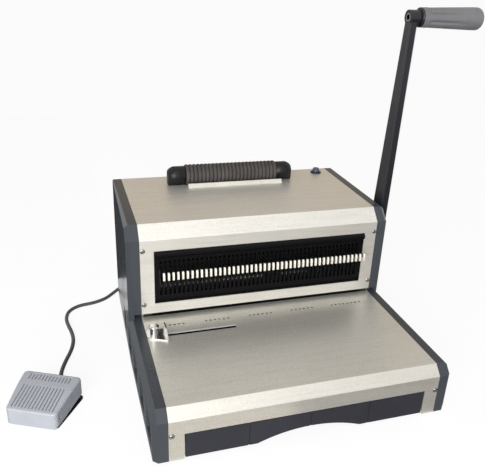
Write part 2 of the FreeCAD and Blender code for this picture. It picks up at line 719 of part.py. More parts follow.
def screw(x, y, z, inwards):
    """One pan-head screw whose head lies on a face at y, with its shank along Y."""
    head, rise = float(S.screw_head) / 2, float(S.screw_head_height)
    dome = Part.makeCylinder(head, rise, Vector(0, 0, 0), Vector(0, 0, 1))
    dome = dome.makeFillet(rise * 0.6, [dome.Edges[0]])
    shank = Part.makeCylinder(float(S.screw_shank) / 2, float(S.screw_length), Vector(0, 0, 0),
                              Vector(0, 0, -1))
    solid = dome.fuse(shank).removeSplitter()
    solid.rotate(Vector(0, 0, 0), Vector(1, 0, 0), 90 * inwards)
    solid.translate(Vector(float(x), float(y), float(z)))
    return solid


# ---------------------------------------------------------------- punching set

def die_bed():
    """Steel channel across the frames that carries the die, with a slot for the chips."""
    die_foot = die_top - S.die_thickness
    outer = block("die_bed_outer", -frame_inner, frame_inner, S.die_front, die_rear,
                  die_foot - S.bed_height, die_foot)
    inner = block("die_bed_inner", -frame_inner, frame_inner, S.die_front + S.bed_wall,
                  die_rear - S.bed_wall, die_foot - S.bed_height, die_foot - S.bed_wall)
    chips = block("die_bed_chips", first_tooth - S.punch_diameter, -first_tooth + S.punch_diameter,
                  S.punch_axis - S.punch_diameter, S.punch_axis + S.punch_diameter,
                  die_foot - S.bed_wall, die_foot)
    return export(cut("die_bed", outer, inner, chips))


def drilled_plate(label, sill, thickness, ends):
    """A hardened plate with one hole for every punch."""
    body = new_body(label)
    sketch = rectangle(sketch_on(body, "XY_Plane", sill), -ends, ends, S.die_front, die_rear)
    pad(body, sketch, thickness)
    sketch = disc(sketch_on(body, "XY_Plane", sill + thickness), first_tooth, S.punch_axis,
                  S.punch_diameter / 2 + S.running_gap)
    hole = pocket(body, sketch, thickness + 1)
    row_pattern(body, [hole], "X_Axis", S.tooth_pitch, S.tooth_count)
    return export(body)


def die_spacers():
    """Two strips that keep the paper gap between the die and the guide plate."""
    strips = []
    for x in (-frame_inner, frame_inner - S.spacer_width):
        strips.append(block("die_spacer", x, x + S.spacer_width, S.die_front, die_rear,
                            die_top, guide_sill))
    return export(group("die_spacers", *strips))


def paper_stop():
    """Bar behind the punches that sets the margin of the holes."""
    start = S.punch_axis + S.stop_margin
    reach = S.stop_overhang - first_tooth
    return export(block("paper_stop", reach * -1, reach, start, die_rear,
                        die_top, guide_sill))


def pin_guard():
    """Black moulding behind the window with a vertical slot for each pull pin."""
    body = new_body("pin_guard")
    face = S.guard_recess
    back = S.guard_recess + S.guard_gauge
    lip = S.guard_lip_height
    sketch = sketch_on(body, "YZ_Plane", S.window_width / -2 + S.seat_gap)
    outline(sketch, [
        (face, window_foot + S.seat_gap), (back, window_foot + S.seat_gap),
        (back, window_head - S.seat_gap), (0, window_head - S.seat_gap),
        (-S.guard_lip, window_head - S.guard_lip, S.guard_lip_round),
        (-S.guard_lip, window_head - lip, S.guard_lip_round),
        (face, window_head - lip - S.guard_lip_slope)])
    pad(body, sketch, S.window_width - S.seat_gap * 2)
    sketch = sketch_on(body, "YZ_Plane", S.window_width / -2 - S.guard_margin)
    rectangle(sketch, inner_skin, back, window_foot - S.guard_margin, window_foot + 2)
    pad(body, sketch, S.window_width + S.guard_margin * 2)
    sketch = sketch_on(body, "YZ_Plane", S.window_width / -2 - S.guard_margin)
    rectangle(sketch, inner_skin, back, window_head - 2, window_head + S.guard_margin)
    pad(body, sketch, S.window_width + S.guard_margin * 2)
    half_slot = S.guard_slot_width / 2
    sill = window_foot + S.guard_slot_sill
    sketch = sketch_on(body, "XZ_Plane", -S.guard_recess)
    rectangle(sketch, first_tooth - half_slot, first_tooth + half_slot, sill, sill + S.guard_slot_height)
    slot = pocket(body, sketch, S.guard_gauge + 1)
    row_pattern(body, [slot], "X_Axis", S.tooth_pitch, S.tooth_count)
    return export(body)


def pressure_bar():
    """The bar that drives the punches: open slots for them and through slots for the pins."""
    body = new_body("pressure_bar")
    sketch = rectangle(sketch_on(body, "YZ_Plane", S.bar_length / -2), bar_front, bar_rear,
                       bar_sill, bar_top)
    pad(body, sketch, S.bar_length)
    half_slot = S.punch_diameter / 2 + S.bar_slot_clearance
    punches = rectangle(sketch_on(body, "XZ_Plane", -bar_front), first_tooth - half_slot,
                        first_tooth + half_slot, bar_sill, punch_top())
    punch_slot = pocket(body, punches, S.bar_depth / 2 + half_slot)
    half_pin = S.pin_width / 2 + S.bar_slot_clearance
    pins = rectangle(sketch_on(body, "XZ_Plane", -bar_front), first_tooth - half_pin,
                     first_tooth + half_pin, punch_top(), pin_height + S.pin_strip / 2 + S.bar_slot_clearance)
    pin_slot = pocket(body, pins, S.bar_depth / 2 + S.pin_tail + S.running_gap)
    row_pattern(body, [punch_slot, pin_slot], "X_Axis", S.tooth_pitch, S.tooth_count)
    sketch = sketch_on(body, "XY_Plane", bar_sill)
    for side in (-1, 1):
        disc(sketch, S.spring_offset * side, S.punch_axis, S.spring_diameter / 2 + S.running_gap * 4)
    pocket(body, sketch, spring_seat(), along_normal=True)
    return export(body)


def spring_seat():
    """Depth of the return springs' pockets in the pressure bar."""
    return 3 * S.spring_wire


def punch_top():
    """Top of a punch, where the pull pin above it presses."""
    return pin_height - S.pin_strip / 2 - S.running_gap


def punches():
    """Round punches, one per tooth, with a shallow lead at the cutting end."""
    foot = guide_sill + S.seat_gap
    length = float(punch_top() - foot)
    radius = float(S.punch_diameter) / 2
    shank = Part.makeCylinder(radius, length, Vector(0, float(S.punch_axis), float(foot)))
    row = [shank.translated(Vector(x, 0, 0)) for x in tooth_places()]
    return export(feature("punches", Part.makeCompound(row)))


def tooth_places():
    """X of every tooth."""
    start, pitch = float(first_tooth), float(S.tooth_pitch)
    return [start + pitch * tooth for tooth in range(int(float(S.tooth_count)))]


def pull_pin(body):
    """One pull pin: a flat strip with a tab bent up and down at its front end."""
    strip = S.pin_strip / 2
    tab_top = pin_height + S.pin_tab_shift + S.pin_tab_height / 2
    tab_foot = pin_height + S.pin_tab_shift - S.pin_tab_height / 2
    front = S.punch_axis - S.pin_reach
    tail = S.punch_axis + S.pin_tail
    sketch = sketch_on(body, "YZ_Plane", S.pin_width / -2)
    outline(sketch, [
        (tail, pin_height - strip), (tail, pin_height + strip),
        (front + S.pin_tab_gauge + S.pin_bend, pin_height + strip),
        (front + S.pin_tab_gauge + S.pin_bend + S.pin_slope, tab_top),
        (front + S.pin_tab_lean, tab_top),
        (front, pin_height + strip), (front, tab_foot),
        (front + S.pin_tab_gauge, tab_foot), (front + S.pin_tab_gauge, pin_height - strip)])
    pad(body, sketch, S.pin_width)
    return body


def pull_pins():
    """The pull pins: the outermost pair are nodes of their own, the rest stand in one row."""
    pattern = pull_pin(new_body("pull_pin_pattern"))
    doc.recompute()
    places = tooth_places()
    inner = [pattern.Shape.translated(Vector(x, 0, 0)) for x in places[1:-1]]
    export(feature("pull_pins", Part.makeCompound(inner)))
    for label, tooth in (("pull_pin_first", 0), ("pull_pin_last", -1)):
        single = pull_pin(new_body(label))
        end = first_tooth if tooth == 0 else -first_tooth
        place(single, end, 0, 0)
        export(single)


# ---------------------------------------------------------------- lever drive

def rack(label):
    """Toothed bar on the back of the pressure bar, in mesh with the pinion."""
    body = new_body(label)
    pitch = S.gear_module * math.pi
    root = pitch_line - S.gear_module * 1.25
    slope = math.tan(math.radians(float(S.pressure_angle)))
    inner = S.pinion_offset - S.pinion_width / 2
    foot = bar_sill + 1
    head = S.shaft_height + pitch * (S.rack_teeth - 2.5)
    sketch = rectangle(sketch_on(body, "YZ_Plane", inner), bar_rear, root, foot, head)
    pad(body, sketch, S.pinion_width)
    half_root = pitch / 4 - S.backlash / 2 + S.gear_module * 1.25 * slope
    half_tip = pitch / 4 - S.backlash / 2 - S.gear_module * slope
    start = S.shaft_height - pitch * 2
    tip = pitch_line + S.gear_module
    sketch = sketch_on(body, "YZ_Plane", inner)
    outline(sketch, [
        (root - 0.5, start - half_root), (root, start - half_root), (tip, start - half_tip),
        (tip, start + half_tip), (root, start + half_root), (root - 0.5, start + half_root)])
    tooth = pad(body, sketch, S.pinion_width)
    row_pattern(body, [tooth], "Z_Axis", pitch, S.rack_teeth)
    return body


def racks():
    """The two racks, one near each end of the pressure bar."""
    right = rack("rack_right")
    return export(group("racks", right, mirror_x("rack_left", right)))


def involute_point(base_radius, radius, half_angle):
    """Point at a radius on the flank that leaves the base circle at half_angle."""
    roll = math.sqrt(max(0, (radius / base_radius) ** 2 - 1))
    angle = half_angle - (roll - math.atan(roll))
    return Vector(0, radius * math.cos(angle), radius * math.sin(angle))


def pinion_shape():
    """Involute pinion round the X axis, one gap pointing forwards (-Y)."""
    module, teeth = float(S.gear_module), int(float(S.pinion_teeth))
    pressure = math.radians(float(S.pressure_angle))
    pitch_r = module * teeth / 2
    base_r = pitch_r * math.cos(pressure)
    tip_r, root_r = pitch_r + module, pitch_r - 1.25 * module
    half_tooth = (math.pi * module / 2 - float(S.backlash)) / (2 * pitch_r)
    half_base = half_tooth + math.tan(pressure) - pressure
    radii = [base_r + (tip_r - base_r) * step / 4 for step in range(5)]
    upper = [involute_point(base_r, radius, half_base) for radius in radii]
    lower = [Vector(0, point.y, -point.z) for point in upper]
    foot_up = Vector(0, root_r * math.cos(half_base), root_r * math.sin(half_base))
    foot_down = Vector(0, foot_up.y, -foot_up.z)
    flank_up, flank_down = Part.BSplineCurve(), Part.BSplineCurve()
    flank_up.interpolate(upper)
    flank_down.interpolate(lower)
    inner = Vector(0, root_r - 1, 0)
    edges = [
        Part.LineSegment(foot_up, upper[0]).toShape(), flank_up.toShape(),
        Part.Arc(upper[-1], Vector(0, tip_r, 0), lower[-1]).toShape(), flank_down.toShape(),
        Part.LineSegment(lower[0], foot_down).toShape(),
        Part.LineSegment(foot_down, inner).toShape(), Part.LineSegment(inner, foot_up).toShape()]
    tooth = Part.Face(Part.Wire(Part.__sortEdges__(edges))).extrude(Vector(float(S.pinion_width), 0, 0))
    wheel = Part.makeCylinder(root_r, float(S.pinion_width), Vector(0, 0, 0), Vector(1, 0, 0))
    step = 360 / teeth
    for number in range(teeth):
        copy = tooth.copy()
        copy.rotate(Vector(0, 0, 0), Vector(1, 0, 0), 180 + step * (number + 0.5))
        wheel = wheel.fuse(copy)
    bore = Part.makeCylinder(float(S.shaft_diameter) / 2, float(S.pinion_width), Vector(0, 0, 0),
                             Vector(1, 0, 0))
    return wheel.cut(bore).removeSplitter()


def pinions():
    """The two pinions on the cross shaft."""
    wheels = []
    for side in (-1, 1):
        wheel = pinion_shape()
        left = float(S.pinion_offset) * side - float(S.pinion_width) / 2
        wheel.translate(Vector(left, float(S.shaft_depth), float(S.shaft_height)))
        wheels.append(wheel)
    return export(feature("pinions", Part.makeCompound(wheels)))


def lever_inner():
    """X of the lever's inner face."""
    return half + S.panel_thickness + S.lever_clearance


def drive_shaft():
    """Cross shaft from the left bush, through both frames, out to the lever."""
    start = -half + S.frame_gauge
    return export(rod("drive_shaft", S.shaft_diameter / 2, lever_inner() + S.lever_gauge - start,
                      start, S.shaft_depth, S.shaft_height, ALONG_X))


def shaft_bushes():
    """Flanged bronze bushes in the two side frames."""
    bushes = []
    radius = S.shaft_diameter / 2
    for side in (-1, 1):
        turn = ALONG_X if side < 0 else Rotation(Vector(0, 1, 0), -90)
        spot = (half * side, S.shaft_depth, S.shaft_height)
        barrel = rod("bush_barrel", radius + S.bush_wall, S.bush_length, *spot, turn)
        collar_x = (frame_inner) * side
        collar = rod("bush_collar", radius + S.bush_wall + S.bush_flange, 2, collar_x,
                     S.shaft_depth, S.shaft_height, turn)
        bore = rod("bush_bore", radius + S.running_gap / 2, S.bush_length + 1, *spot, turn)
        bushes.append(cut("shaft_bush", fused("bush_body", barrel, collar), bore))
    return export(group("shaft_bushes", *bushes))


def ram_guides():
    """Slotted blocks on the frames in which the ends of the pressure bar slide."""
    height = S.guide_block_height
    foot = guide_top + S.guide_lift
    inner = S.bar_length / 2 - S.guide_engagement
    solid = block("ram_guide_blank", inner, frame_inner, guide_front, guide_rear, foot, foot + height)
    slot = block("ram_guide_slot", inner, S.bar_length / 2 + S.seat_gap * 2, bar_front - S.seat_gap,
                 bar_rear + S.seat_gap, foot, foot + height)
    right = cut("ram_guide_right", solid, slot)
    return export(group("ram_guides", right, mirror_x("ram_guide_left", right)))


def return_springs():
    """Two compression springs that lift the pressure bar after a stroke."""
    bottom = float(guide_top) + float(S.spring_wire) / 2
    free = float(bar_sill + spring_seat()) - float(S.spring_wire) / 2 - bottom - float(S.seat_gap)
    coils = []
    for side in (-1, 1):
        coil = helix_solid(float(S.spring_diameter) / 2 - float(S.spring_wire) / 2, free,
                           float(S.spring_turns), float(S.spring_wire) / 2)
        coil.translate(Vector(float(S.spring_offset) * side, float(S.punch_axis), bottom))
        coils.append(coil)
    return export(feature("return_springs", Part.makeCompound(coils)))


def helix_solid(radius, height, turns, wire_radius):
    """A round wire wound into a helix round the Z axis."""
    path = Part.makeHelix(height / turns, height, radius)
    section = Part.Wire(Part.makeCircle(wire_radius, Vector(radius, 0, 0), Vector(0, 1, 0)))
    return Part.Wire(path).makePipeShell([section], True, True)


def lever_arm():
    """Tapered flat bar with chamfered edges and the round boss that holds the grip."""
    body = new_body("lever_arm")
    gauge_x = lever_inner()
    foot_y, foot_z = S.shaft_depth + S.lever_foot_shift, S.shaft_height - S.lever_tail
    head_y = S.shaft_depth - S.lever_lean
    head_z = S.shaft_height + S.lever_length
    wide, slim = S.lever_foot_width / 2, S.lever_top_width / 2
    sketch = sketch_on(body, "YZ_Plane", gauge_x)
    outline(sketch, [
        (foot_y - wide, foot_z), (foot_y + wide, foot_z), (head_y + slim, head_z), (head_y - slim, head_z)])
    pad(body, sketch, S.lever_gauge)
    low, high = float(foot_z), float(head_z)
    dress(body, "Chamfer", S.lever_chamfer,
          lambda middle, run: abs(run.z) > 100 and low < middle.z < high)
    sketch = sketch_on(body, "YZ_Plane", gauge_x)
    disc(sketch, head_y, head_z, S.boss_diameter / 2)
    pad(body, sketch, S.boss_length)
    sketch = disc(sketch_on(body, "YZ_Plane", gauge_x), S.shaft_depth, S.shaft_height,
                  S.shaft_diameter / 2)
    pocket(body, sketch, S.lever_gauge, along_normal=True)
    sketch = disc(sketch_on(body, "YZ_Plane", gauge_x), head_y, head_z, S.grip_bolt / 2)
    pocket(body, sketch, S.boss_length, along_normal=True)
    sketch = disc(sketch_on(body, "YZ_Plane", gauge_x), head_y, head_z, S.bolt_head / 2)
    pocket(body, sketch, S.bolt_head_height, along_normal=True)
    return export(body)


def grip_axis():
    """Y and Z of the grip's axis."""
    return S.shaft_depth - S.lever_lean, S.shaft_height + S.lever_length


def grip_bolt():
    """Socket-head bolt sunk into the lever's head, on which the grip turns."""
    y, z = grip_axis()
    body = new_body("grip_bolt")
    inner = lever_inner()
    sketch = disc(sketch_on(body, "YZ_Plane", inner), y, z, S.bolt_head / 2)
    pad(body, sketch, S.bolt_head_height)
    sketch = disc(sketch_on(body, "YZ_Plane", inner), y, z, S.grip_bolt / 2)
    pad(body, sketch, S.boss_length + S.grip_length - S.grip_dome)
    across = S.bolt_socket / 2
    corner = across / math.cos(math.pi / 6)
    sketch = sketch_on(body, "YZ_Plane", inner)
    outline(sketch, [
        (y + corner * 0.5, z - across), (y + corner, z), (y + corner * 0.5, z + across),
        (y - corner * 0.5, z + across), (y - corner, z), (y - corner * 0.5, z - across)])
    pocket(body, sketch, S.bolt_socket_depth, along_normal=True)
    return export(body)


def grip():
    """Tapered hand grip with long shallow flutes and a domed end, free to spin on its bolt."""
    y, z = grip_axis()
    start = lever_inner() + S.boss_length + S.seat_gap
    body = new_body("grip")
    small, large = S.grip_small / 2, S.grip_large / 2
    end = S.grip_length
    sketch = sketch_on(body, "XZ_Plane")
    outline(sketch, [
        (0, 0), (0, small - 1), (1, small), (end * 0.45, (small + large) / 2 + 0.6),
        (end - S.grip_dome, large),
        (end - 4, large - 2.4, 3), (end, large * 0.5), (end, 0)])
    revolution = body.newObject("PartDesign::Revolution", "grip_revolution")
    revolution.Profile = sketch
    revolution.ReferenceAxis = (origin_part(body, "X_Axis"), [""])
    revolution.Angle = 360
    radius = S.grip_flute
    sketch = disc(sketch_on(body, "YZ_Plane", S.grip_flute_start), 0, large + radius * 0.62, radius)
    flute = pocket(body, sketch, end - S.grip_flute_start - S.grip_flute_end, along_normal=True)
    ring_pattern(body, [flute], "X_Axis", S.grip_flute_count)
    sketch = disc(sketch_on(body, "YZ_Plane"), 0, 0, S.grip_bolt / 2 + S.running_gap)
    pocket(body, sketch, end - S.grip_dome + 1, along_normal=True)
    place(body, start, y, z)
    return export(body)


# ---------------------------------------------------------------- table furniture

def guide_bracket():
    """Bent paper guide: a foot with a slanting front edge and a fence that slopes to the front."""
    body = new_body("guide_bracket")
    level = S.table_height + S.running_gap
    gauge = S.guide_gauge
    edge = -S.guide_edge
    front = -S.guide_slot_depth - S.guide_depth / 2
    back = -S.guide_slot_depth + S.guide_depth / 2
    nose = guide_knob_x() - S.knob_waist / 2 - 1
    sketch = sketch_on(body, "XY_Plane", level)
    outline(sketch, [
        (edge, front), (edge, back), (edge - S.guide_width, back, 3),
        (edge - S.guide_width, -S.guide_slot_depth - S.guide_nose),
        (nose, -S.guide_slot_depth - S.knob_waist / 2)])
    pad(body, sketch, gauge)
    sketch = sketch_on(body, "YZ_Plane", edge - gauge)
    outline(sketch, [
        (front, level), (back, level), (back, level + S.guide_fence),
        (back - S.guide_depth * 0.55, level + S.guide_fence), (front, level + gauge * 1.6)])
    pad(body, sketch, gauge)
    sketch = disc(sketch_on(body, "XY_Plane", level + gauge), guide_knob_x(), -S.guide_slot_depth,
                  S.guide_slot_width / 2)
    pocket(body, sketch, gauge + 1)
    return export(body)


def guide_knob_x():
    """X of the guide's clamping knob."""
    return -S.guide_edge - S.guide_width + S.knob_diameter / 2 + 2


def guide_knob():
    """Clamping knob with a broad rim on a slimmer waist; its stud passes down through the slot."""
    body = new_body("guide_knob")
    radius, waist = S.knob_diameter / 2, S.knob_waist / 2
    height = S.knob_height
    stud = S.guide_slot_width / 2 - S.running_gap * 2
    level = S.table_height + S.running_gap + S.guide_gauge
    tip = -S.guide_gauge - S.sheet_gauge - S.running_gap * 2 - S.guide_nut_height
    sketch = sketch_on(body, "XZ_Plane")
    outline(sketch, [
        (0, tip), (stud, tip), (stud, S.running_gap), (waist, S.running_gap),
        (waist, height - S.knob_rim), (radius, height - S.knob_rim + 0.6, 0.4),
        (radius, height - 0.8, 0.6), (radius * 0.7, height, 2), (0, height)])
    revolution = body.newObject("PartDesign::Revolution", "guide_knob_revolution")
    revolution.Profile = sketch
    revolution.ReferenceAxis = (origin_part(body, "Z_Axis"), [""])
    revolution.Angle = 360
    place(body, guide_knob_x(), -S.guide_slot_depth, level)
    return export(body)


def guide_nut():
    """Square nut under the table that the knob's stud screws into."""
    level = S.table_height - S.sheet_gauge - S.running_gap
    x, y = guide_knob_x(), -S.guide_slot_depth
    reach, height = S.guide_nut_width / 2, S.guide_nut_height
    blank = block("guide_nut_blank", x - reach, x + reach, y - reach, y + reach, level - height, level)
    bore = rod("guide_nut_bore", S.guide_slot_width / 2, height + 1, x, y, level - height - 0.5)
    return export(cut("guide_nut", blank, bore))


# ---------------------------------------------------------------- chip drawer

def drawer_front():
    """Moulded drawer front in four fields with a hand arch in its lower edge."""
    body = new_body("drawer_front")
    foot = S.foot_height + S.drawer_sill
    wide = S.drawer_width / 2 - S.drawer_gap
    face = apron + S.seat_gap
    sketch = rectangle(sketch_on(body, "XZ_Plane", -face), -wide, wide, foot, drawer_top())
    pad(body, sketch, S.drawer_front_gauge, backwards=True)
    radius = (S.arch_span * S.arch_span / 4 + S.arch_rise * S.arch_rise) / (S.arch_rise * 2)
    sketch = disc(sketch_on(body, "XZ_Plane", -face), 0, foot + S.arch_rise - radius, radius)
    pocket(body, sketch, S.drawer_front_gauge + 1)
    sketch = sketch_on(body, "XZ_Plane", -face)
    for number in (-1, 0, 1):
        middle = S.drawer_groove_pitch * number
        rectangle(sketch, middle - S.drawer_groove / 2, middle + S.drawer_groove / 2, foot - 1,
                  drawer_top() + 1)
    pocket(body, sketch, S.drawer_groove_depth)
    return export(body)


def drawer_tray():
    """Open tray behind the drawer front that catches the chips under the die."""
    body = new_body("drawer_tray")
    foot = S.foot_height + S.drawer_floor
    wide = S.drawer_width / 2 - S.drawer_gap - S.tray_gap
    front = apron + S.seat_gap + S.drawer_front_gauge
    back = front + S.drawer_depth
    head = drawer_top() - 2
    wall = S.drawer_wall
    sketch = rectangle(sketch_on(body, "XY_Plane", foot), -wide, wide, front, back)
    pad(body, sketch, head - foot)
    sketch = rectangle(sketch_on(body, "XY_Plane", head), wall - wide, wide - wall, front + wall,
                       back - wall)
    pocket(body, sketch, head - foot - wall)
    return export(body)


def drawer_runners():
    """Angle runners on the side frames on which the tray slides."""
    level = S.foot_height + S.drawer_floor - S.seat_gap
    back = apron + S.drawer_depth
    front = apron + S.drawer_front_gauge * 3
    shelf = block("runner_shelf", frame_inner - S.runner_width, frame_inner, front, back,
                  level - S.runner_gauge, level)
    wall = block("runner_wall", frame_inner - S.runner_gauge, frame_inner, front, back, level,
                 level + S.runner_height)
    right = fused("runner_right", shelf, wall)
    return export(group("drawer_runners", right, mirror_x("runner_left", right)))


# ---------------------------------------------------------------- coil inserter

def roller_cap(label):
    """One bearing housing, drawn outwards along X: a barrel with a conical nose on a narrow foot."""
    body = new_body(label)
    radius = S.cap_diameter / 2
    barrel = S.cap_length - S.cap_nose
    sketch = outline(sketch_on(body, "XZ_Plane"), [
        (0, 0), (0, radius), (barrel, radius, 3), (S.cap_length, S.cap_face / 2, 2.5), (S.cap_length, 0)])
    revolution = body.newObject("PartDesign::Revolution", label + "_revolution")
    revolution.Profile = sketch
    revolution.ReferenceAxis = (origin_part(body, "X_Axis"), [""])
    revolution.Angle = 360
    sketch = rectangle(sketch_on(body, "XY_Plane", -radius), 0, barrel, S.cap_foot / -2, S.cap_foot / 2)
    pad(body, sketch, radius)
    sketch = disc(sketch_on(body, "YZ_Plane"), 0, 0, S.core_shaft / 2 + S.running_gap)
    pocket(body, sketch, S.cap_length - 3, along_normal=True)
    return body


def roller_caps():
    """Both bearing housings; the left one is hollow and hides the belt drive."""
    right = roller_cap("roller_cap_right")
    place(right, roller_right() + S.seat_gap, S.roller_depth, S.roller_height)
    export(right)
    left = roller_cap("roller_cap_left")
    sketch = disc(sketch_on(left, "YZ_Plane", CAP_WALL), 0, 0, belt_room() + 1)
    pocket(left, sketch, S.cap_length - CAP_WALL - 6, along_normal=True)
    near = S.pulley_stand - S.seat_gap - ROLLER_ROOM
    sketch = rectangle(sketch_on(left, "XY_Plane"), near, near + S.pulley_width + ROLLER_ROOM * 2,
                       -belt_room(), belt_room())
    pocket(left, sketch, S.cap_diameter)
    place(left, roller_left() - S.seat_gap, S.roller_depth, S.roller_height,
          Rotation(Vector(0, 0, 1), 180))
    export(left)


CAP_WALL = 2.5


def roller_core():
    """Steel core of the roller with a journal at each end."""
    drum = rod("roller_drum", S.sleeve_core / 2, S.sleeve_length, roller_left(), S.roller_depth,
               S.roller_height, ALONG_X)
    reach = S.cap_length - 4
    shaft = rod("roller_shaft", S.core_shaft / 2, S.sleeve_length + reach * 2, roller_left() - reach,
                S.roller_depth, S.roller_height, ALONG_X)
    return export(fused("roller_core", drum, shaft))


def roller_sleeve():
    """Ribbed rubber sleeve pushed over the core."""
    body = new_body("roller_sleeve")
    outer = S.sleeve_diameter / 2
    inner = S.sleeve_core / 2
    sketch = rectangle(sketch_on(body, "XZ_Plane"), 0, S.sleeve_length, inner, outer - S.rib_depth)
    base = body.newObject("PartDesign::Revolution", "sleeve_revolution")
    base.Profile = sketch
    base.ReferenceAxis = (origin_part(body, "X_Axis"), [""])
    base.Angle = 360
    pitch = S.sleeve_length / S.rib_count
    sketch = sketch_on(body, "XZ_Plane")
    outline(sketch, [
        (pitch * 0.14, outer - S.rib_depth - 0.5), (pitch * 0.86, outer - S.rib_depth - 0.5),
        (pitch * 0.86, outer - S.rib_depth), (pitch * 0.72, outer), (pitch * 0.28, outer),
        (pitch * 0.14, outer - S.rib_depth)])
    rib = body.newObject("PartDesign::Revolution", "rib_revolution")
    rib.Profile = sketch
    rib.ReferenceAxis = (origin_part(body, "X_Axis"), [""])
    rib.Angle = 360
    row_pattern(body, [rib], "X_Axis", pitch, S.rib_count)
    place(body, roller_left(), S.roller_depth, S.roller_height)
    return export(body)


def pulley(label, z, shaft_from, shaft_to):
    """Flanged belt pulley on its own stub of shaft, or bored for one."""
    radius = S.pulley_diameter / 2
    left = pulley_left()
    rim = rod(label + "_rim", radius, S.pulley_width, left, S.roller_depth, z, ALONG_X)
    cheek = (S.pulley_width - S.belt_width) / 2 - S.running_gap
    near = rod(label + "_near", radius + S.belt_gauge, cheek, left, S.roller_depth, z, ALONG_X)
    far = rod(label + "_far", radius + S.belt_gauge, cheek, left + S.pulley_width - cheek,
              S.roller_depth, z, ALONG_X)
    wheel = fused(label + "_wheel", rim, near, far)
    if shaft_from is None:
        bore = rod(label + "_bore", S.core_shaft / 2, S.pulley_width + 2, left - 1, S.roller_depth, z,
                   ALONG_X)
        return export(cut(label, wheel, bore))
    shaft = rod(label + "_shaft", S.motor_shaft / 2, shaft_to - shaft_from, shaft_from, S.roller_depth,
                z, ALONG_X)
    return export(fused(label, wheel, shaft))


def pulley_left():
    """Left face of both belt pulleys."""
    return roller_left() - S.pulley_stand - S.pulley_width


def motor_height():
    """Z of the gear motor's axis, below the top plate that carries it."""
    return top - S.motor_drop


def drive_belt():
    """Endless belt from the motor's pulley up to the roller's."""
    inner = float(S.pulley_diameter) / 2 + float(S.seat_gap)
    outer = inner + float(S.belt_gauge) - 0.6
    left = float(pulley_left()) + (float(S.pulley_width) - float(S.belt_width)) / 2
    low, high = float(motor_height()), float(S.roller_height)
    loops = [belt_loop(radius, low, high) for radius in (outer, inner)]
    ring = Part.Face(loops[0]).cut(Part.Face(loops[1]))
    solid = ring.extrude(Vector(float(S.belt_width), 0, 0))
    solid.translate(Vector(left, float(S.roller_depth), 0))
    return export(feature("drive_belt", solid))


def belt_loop(radius, low, high):
    """Racetrack outline of the belt in the YZ plane."""
    return Part.Wire([
        Part.LineSegment(Vector(0, radius, low), Vector(0, radius, high)).toShape(),
        Part.Arc(Vector(0, radius, high), Vector(0, 0, high + radius), Vector(0, -radius, high)).toShape(),
        Part.LineSegment(Vector(0, -radius, high), Vector(0, -radius, low)).toShape(),
        Part.Arc(Vector(0, -radius, low), Vector(0, 0, low - radius), Vector(0, radius, low)).toShape()])


def motor_left():
    """Left face of the gear motor, against its bracket."""
    return pulley_left() + S.pulley_width + S.motor_stand + S.bracket_gauge


def drive_motor():
    """Gear motor of the coil inserter with its front boss bored for the shaft."""
    z = motor_height()
    can = rod("motor_can", S.motor_diameter / 2, S.motor_length, motor_left(), S.roller_depth, z, ALONG_X)
    nose = motor_left() - S.motor_boss_length
    boss = rod("motor_boss", S.motor_boss / 2, S.motor_boss_length, nose, S.roller_depth, z, ALONG_X)
    tail = rod("motor_tail", S.motor_tail / 2, S.motor_tail_length, motor_left() + S.motor_length,
               S.roller_depth, z, ALONG_X)
    bore = rod("motor_bore", (S.motor_shaft + S.running_gap) / 2, S.motor_boss_length + 6, nose,
               S.roller_depth, z, ALONG_X)
    return export(cut("drive_motor", fused("motor_body", can, boss, tail), bore))


def motor_bracket():
    """Bracket that hangs the motor from the top plate, with an ear on each side of the belt."""
    z = motor_height()
    gauge, y = S.bracket_gauge, S.roller_depth
    x = motor_left() - gauge
    wide = S.motor_diameter / 2 + S.bracket_wing
    gap = S.bracket_gap / 2
    level = top - S.sheet_gauge
    plate = block("bracket_plate", x, x + gauge, y - wide, y + wide, z - S.bracket_drop, level)
    ears = []
    for low, high in ((y - wide, y - gap), (y + gap, y + wide)):
        ears.append(block("bracket_ear", x, x + S.bracket_ear, low, high, level - gauge, level))
    bore = rod("bracket_bore", S.motor_boss / 2 + S.running_gap, gauge * 2, x - 1, y, z, ALONG_X)
    notch = block("bracket_notch", x - 1, x + gauge + 1, y - gap + gauge, y + gap - gauge,
                  level - gauge * 5, level + 1)
    return export(cut("motor_bracket", fused("bracket_body", plate, *ears), bore, notch))


def coil_rest():
    """Bright folded strip in front of the roller that the coil lies against."""
    body = new_body("coil_rest")
    gauge = S.rest_gauge
    front = S.rest_depth
    fold = gauge * MITRE
    sketch = sketch_on(body, "YZ_Plane", S.rest_centre - S.rest_length / 2)
    outline(sketch, [
        (front, top), (front + S.rest_lip + 4, top), (front + S.rest_lip + 4, top + gauge),
        (front + gauge + fold * 2 + 1, top + gauge), (front + S.rest_lip + gauge, top + S.rest_lip),
        (front + S.rest_lip - fold, top + S.rest_lip)])
    pad(body, sketch, S.rest_length)
    return export(body)


def button_bezel():
    """Round bezel of the roller's switch on the top plate."""
    x, y, deep = S.button_x, S.button_y, S.button_barrel
    ring = taper("bezel_ring", S.button_flange / 2, S.button_flange / 2 - 1, 2, x, y, top)
    barrel = rod("bezel_barrel", S.button_cap / 2 + S.running_gap * 4, deep, x, y, top - deep)
    bore = rod("bezel_bore", S.button_cap / 2 - 1 + S.running_gap, deep + 6, x, y, top - deep + 2)
    return export(cut("button_bezel", fused("bezel_body", ring, barrel), bore))


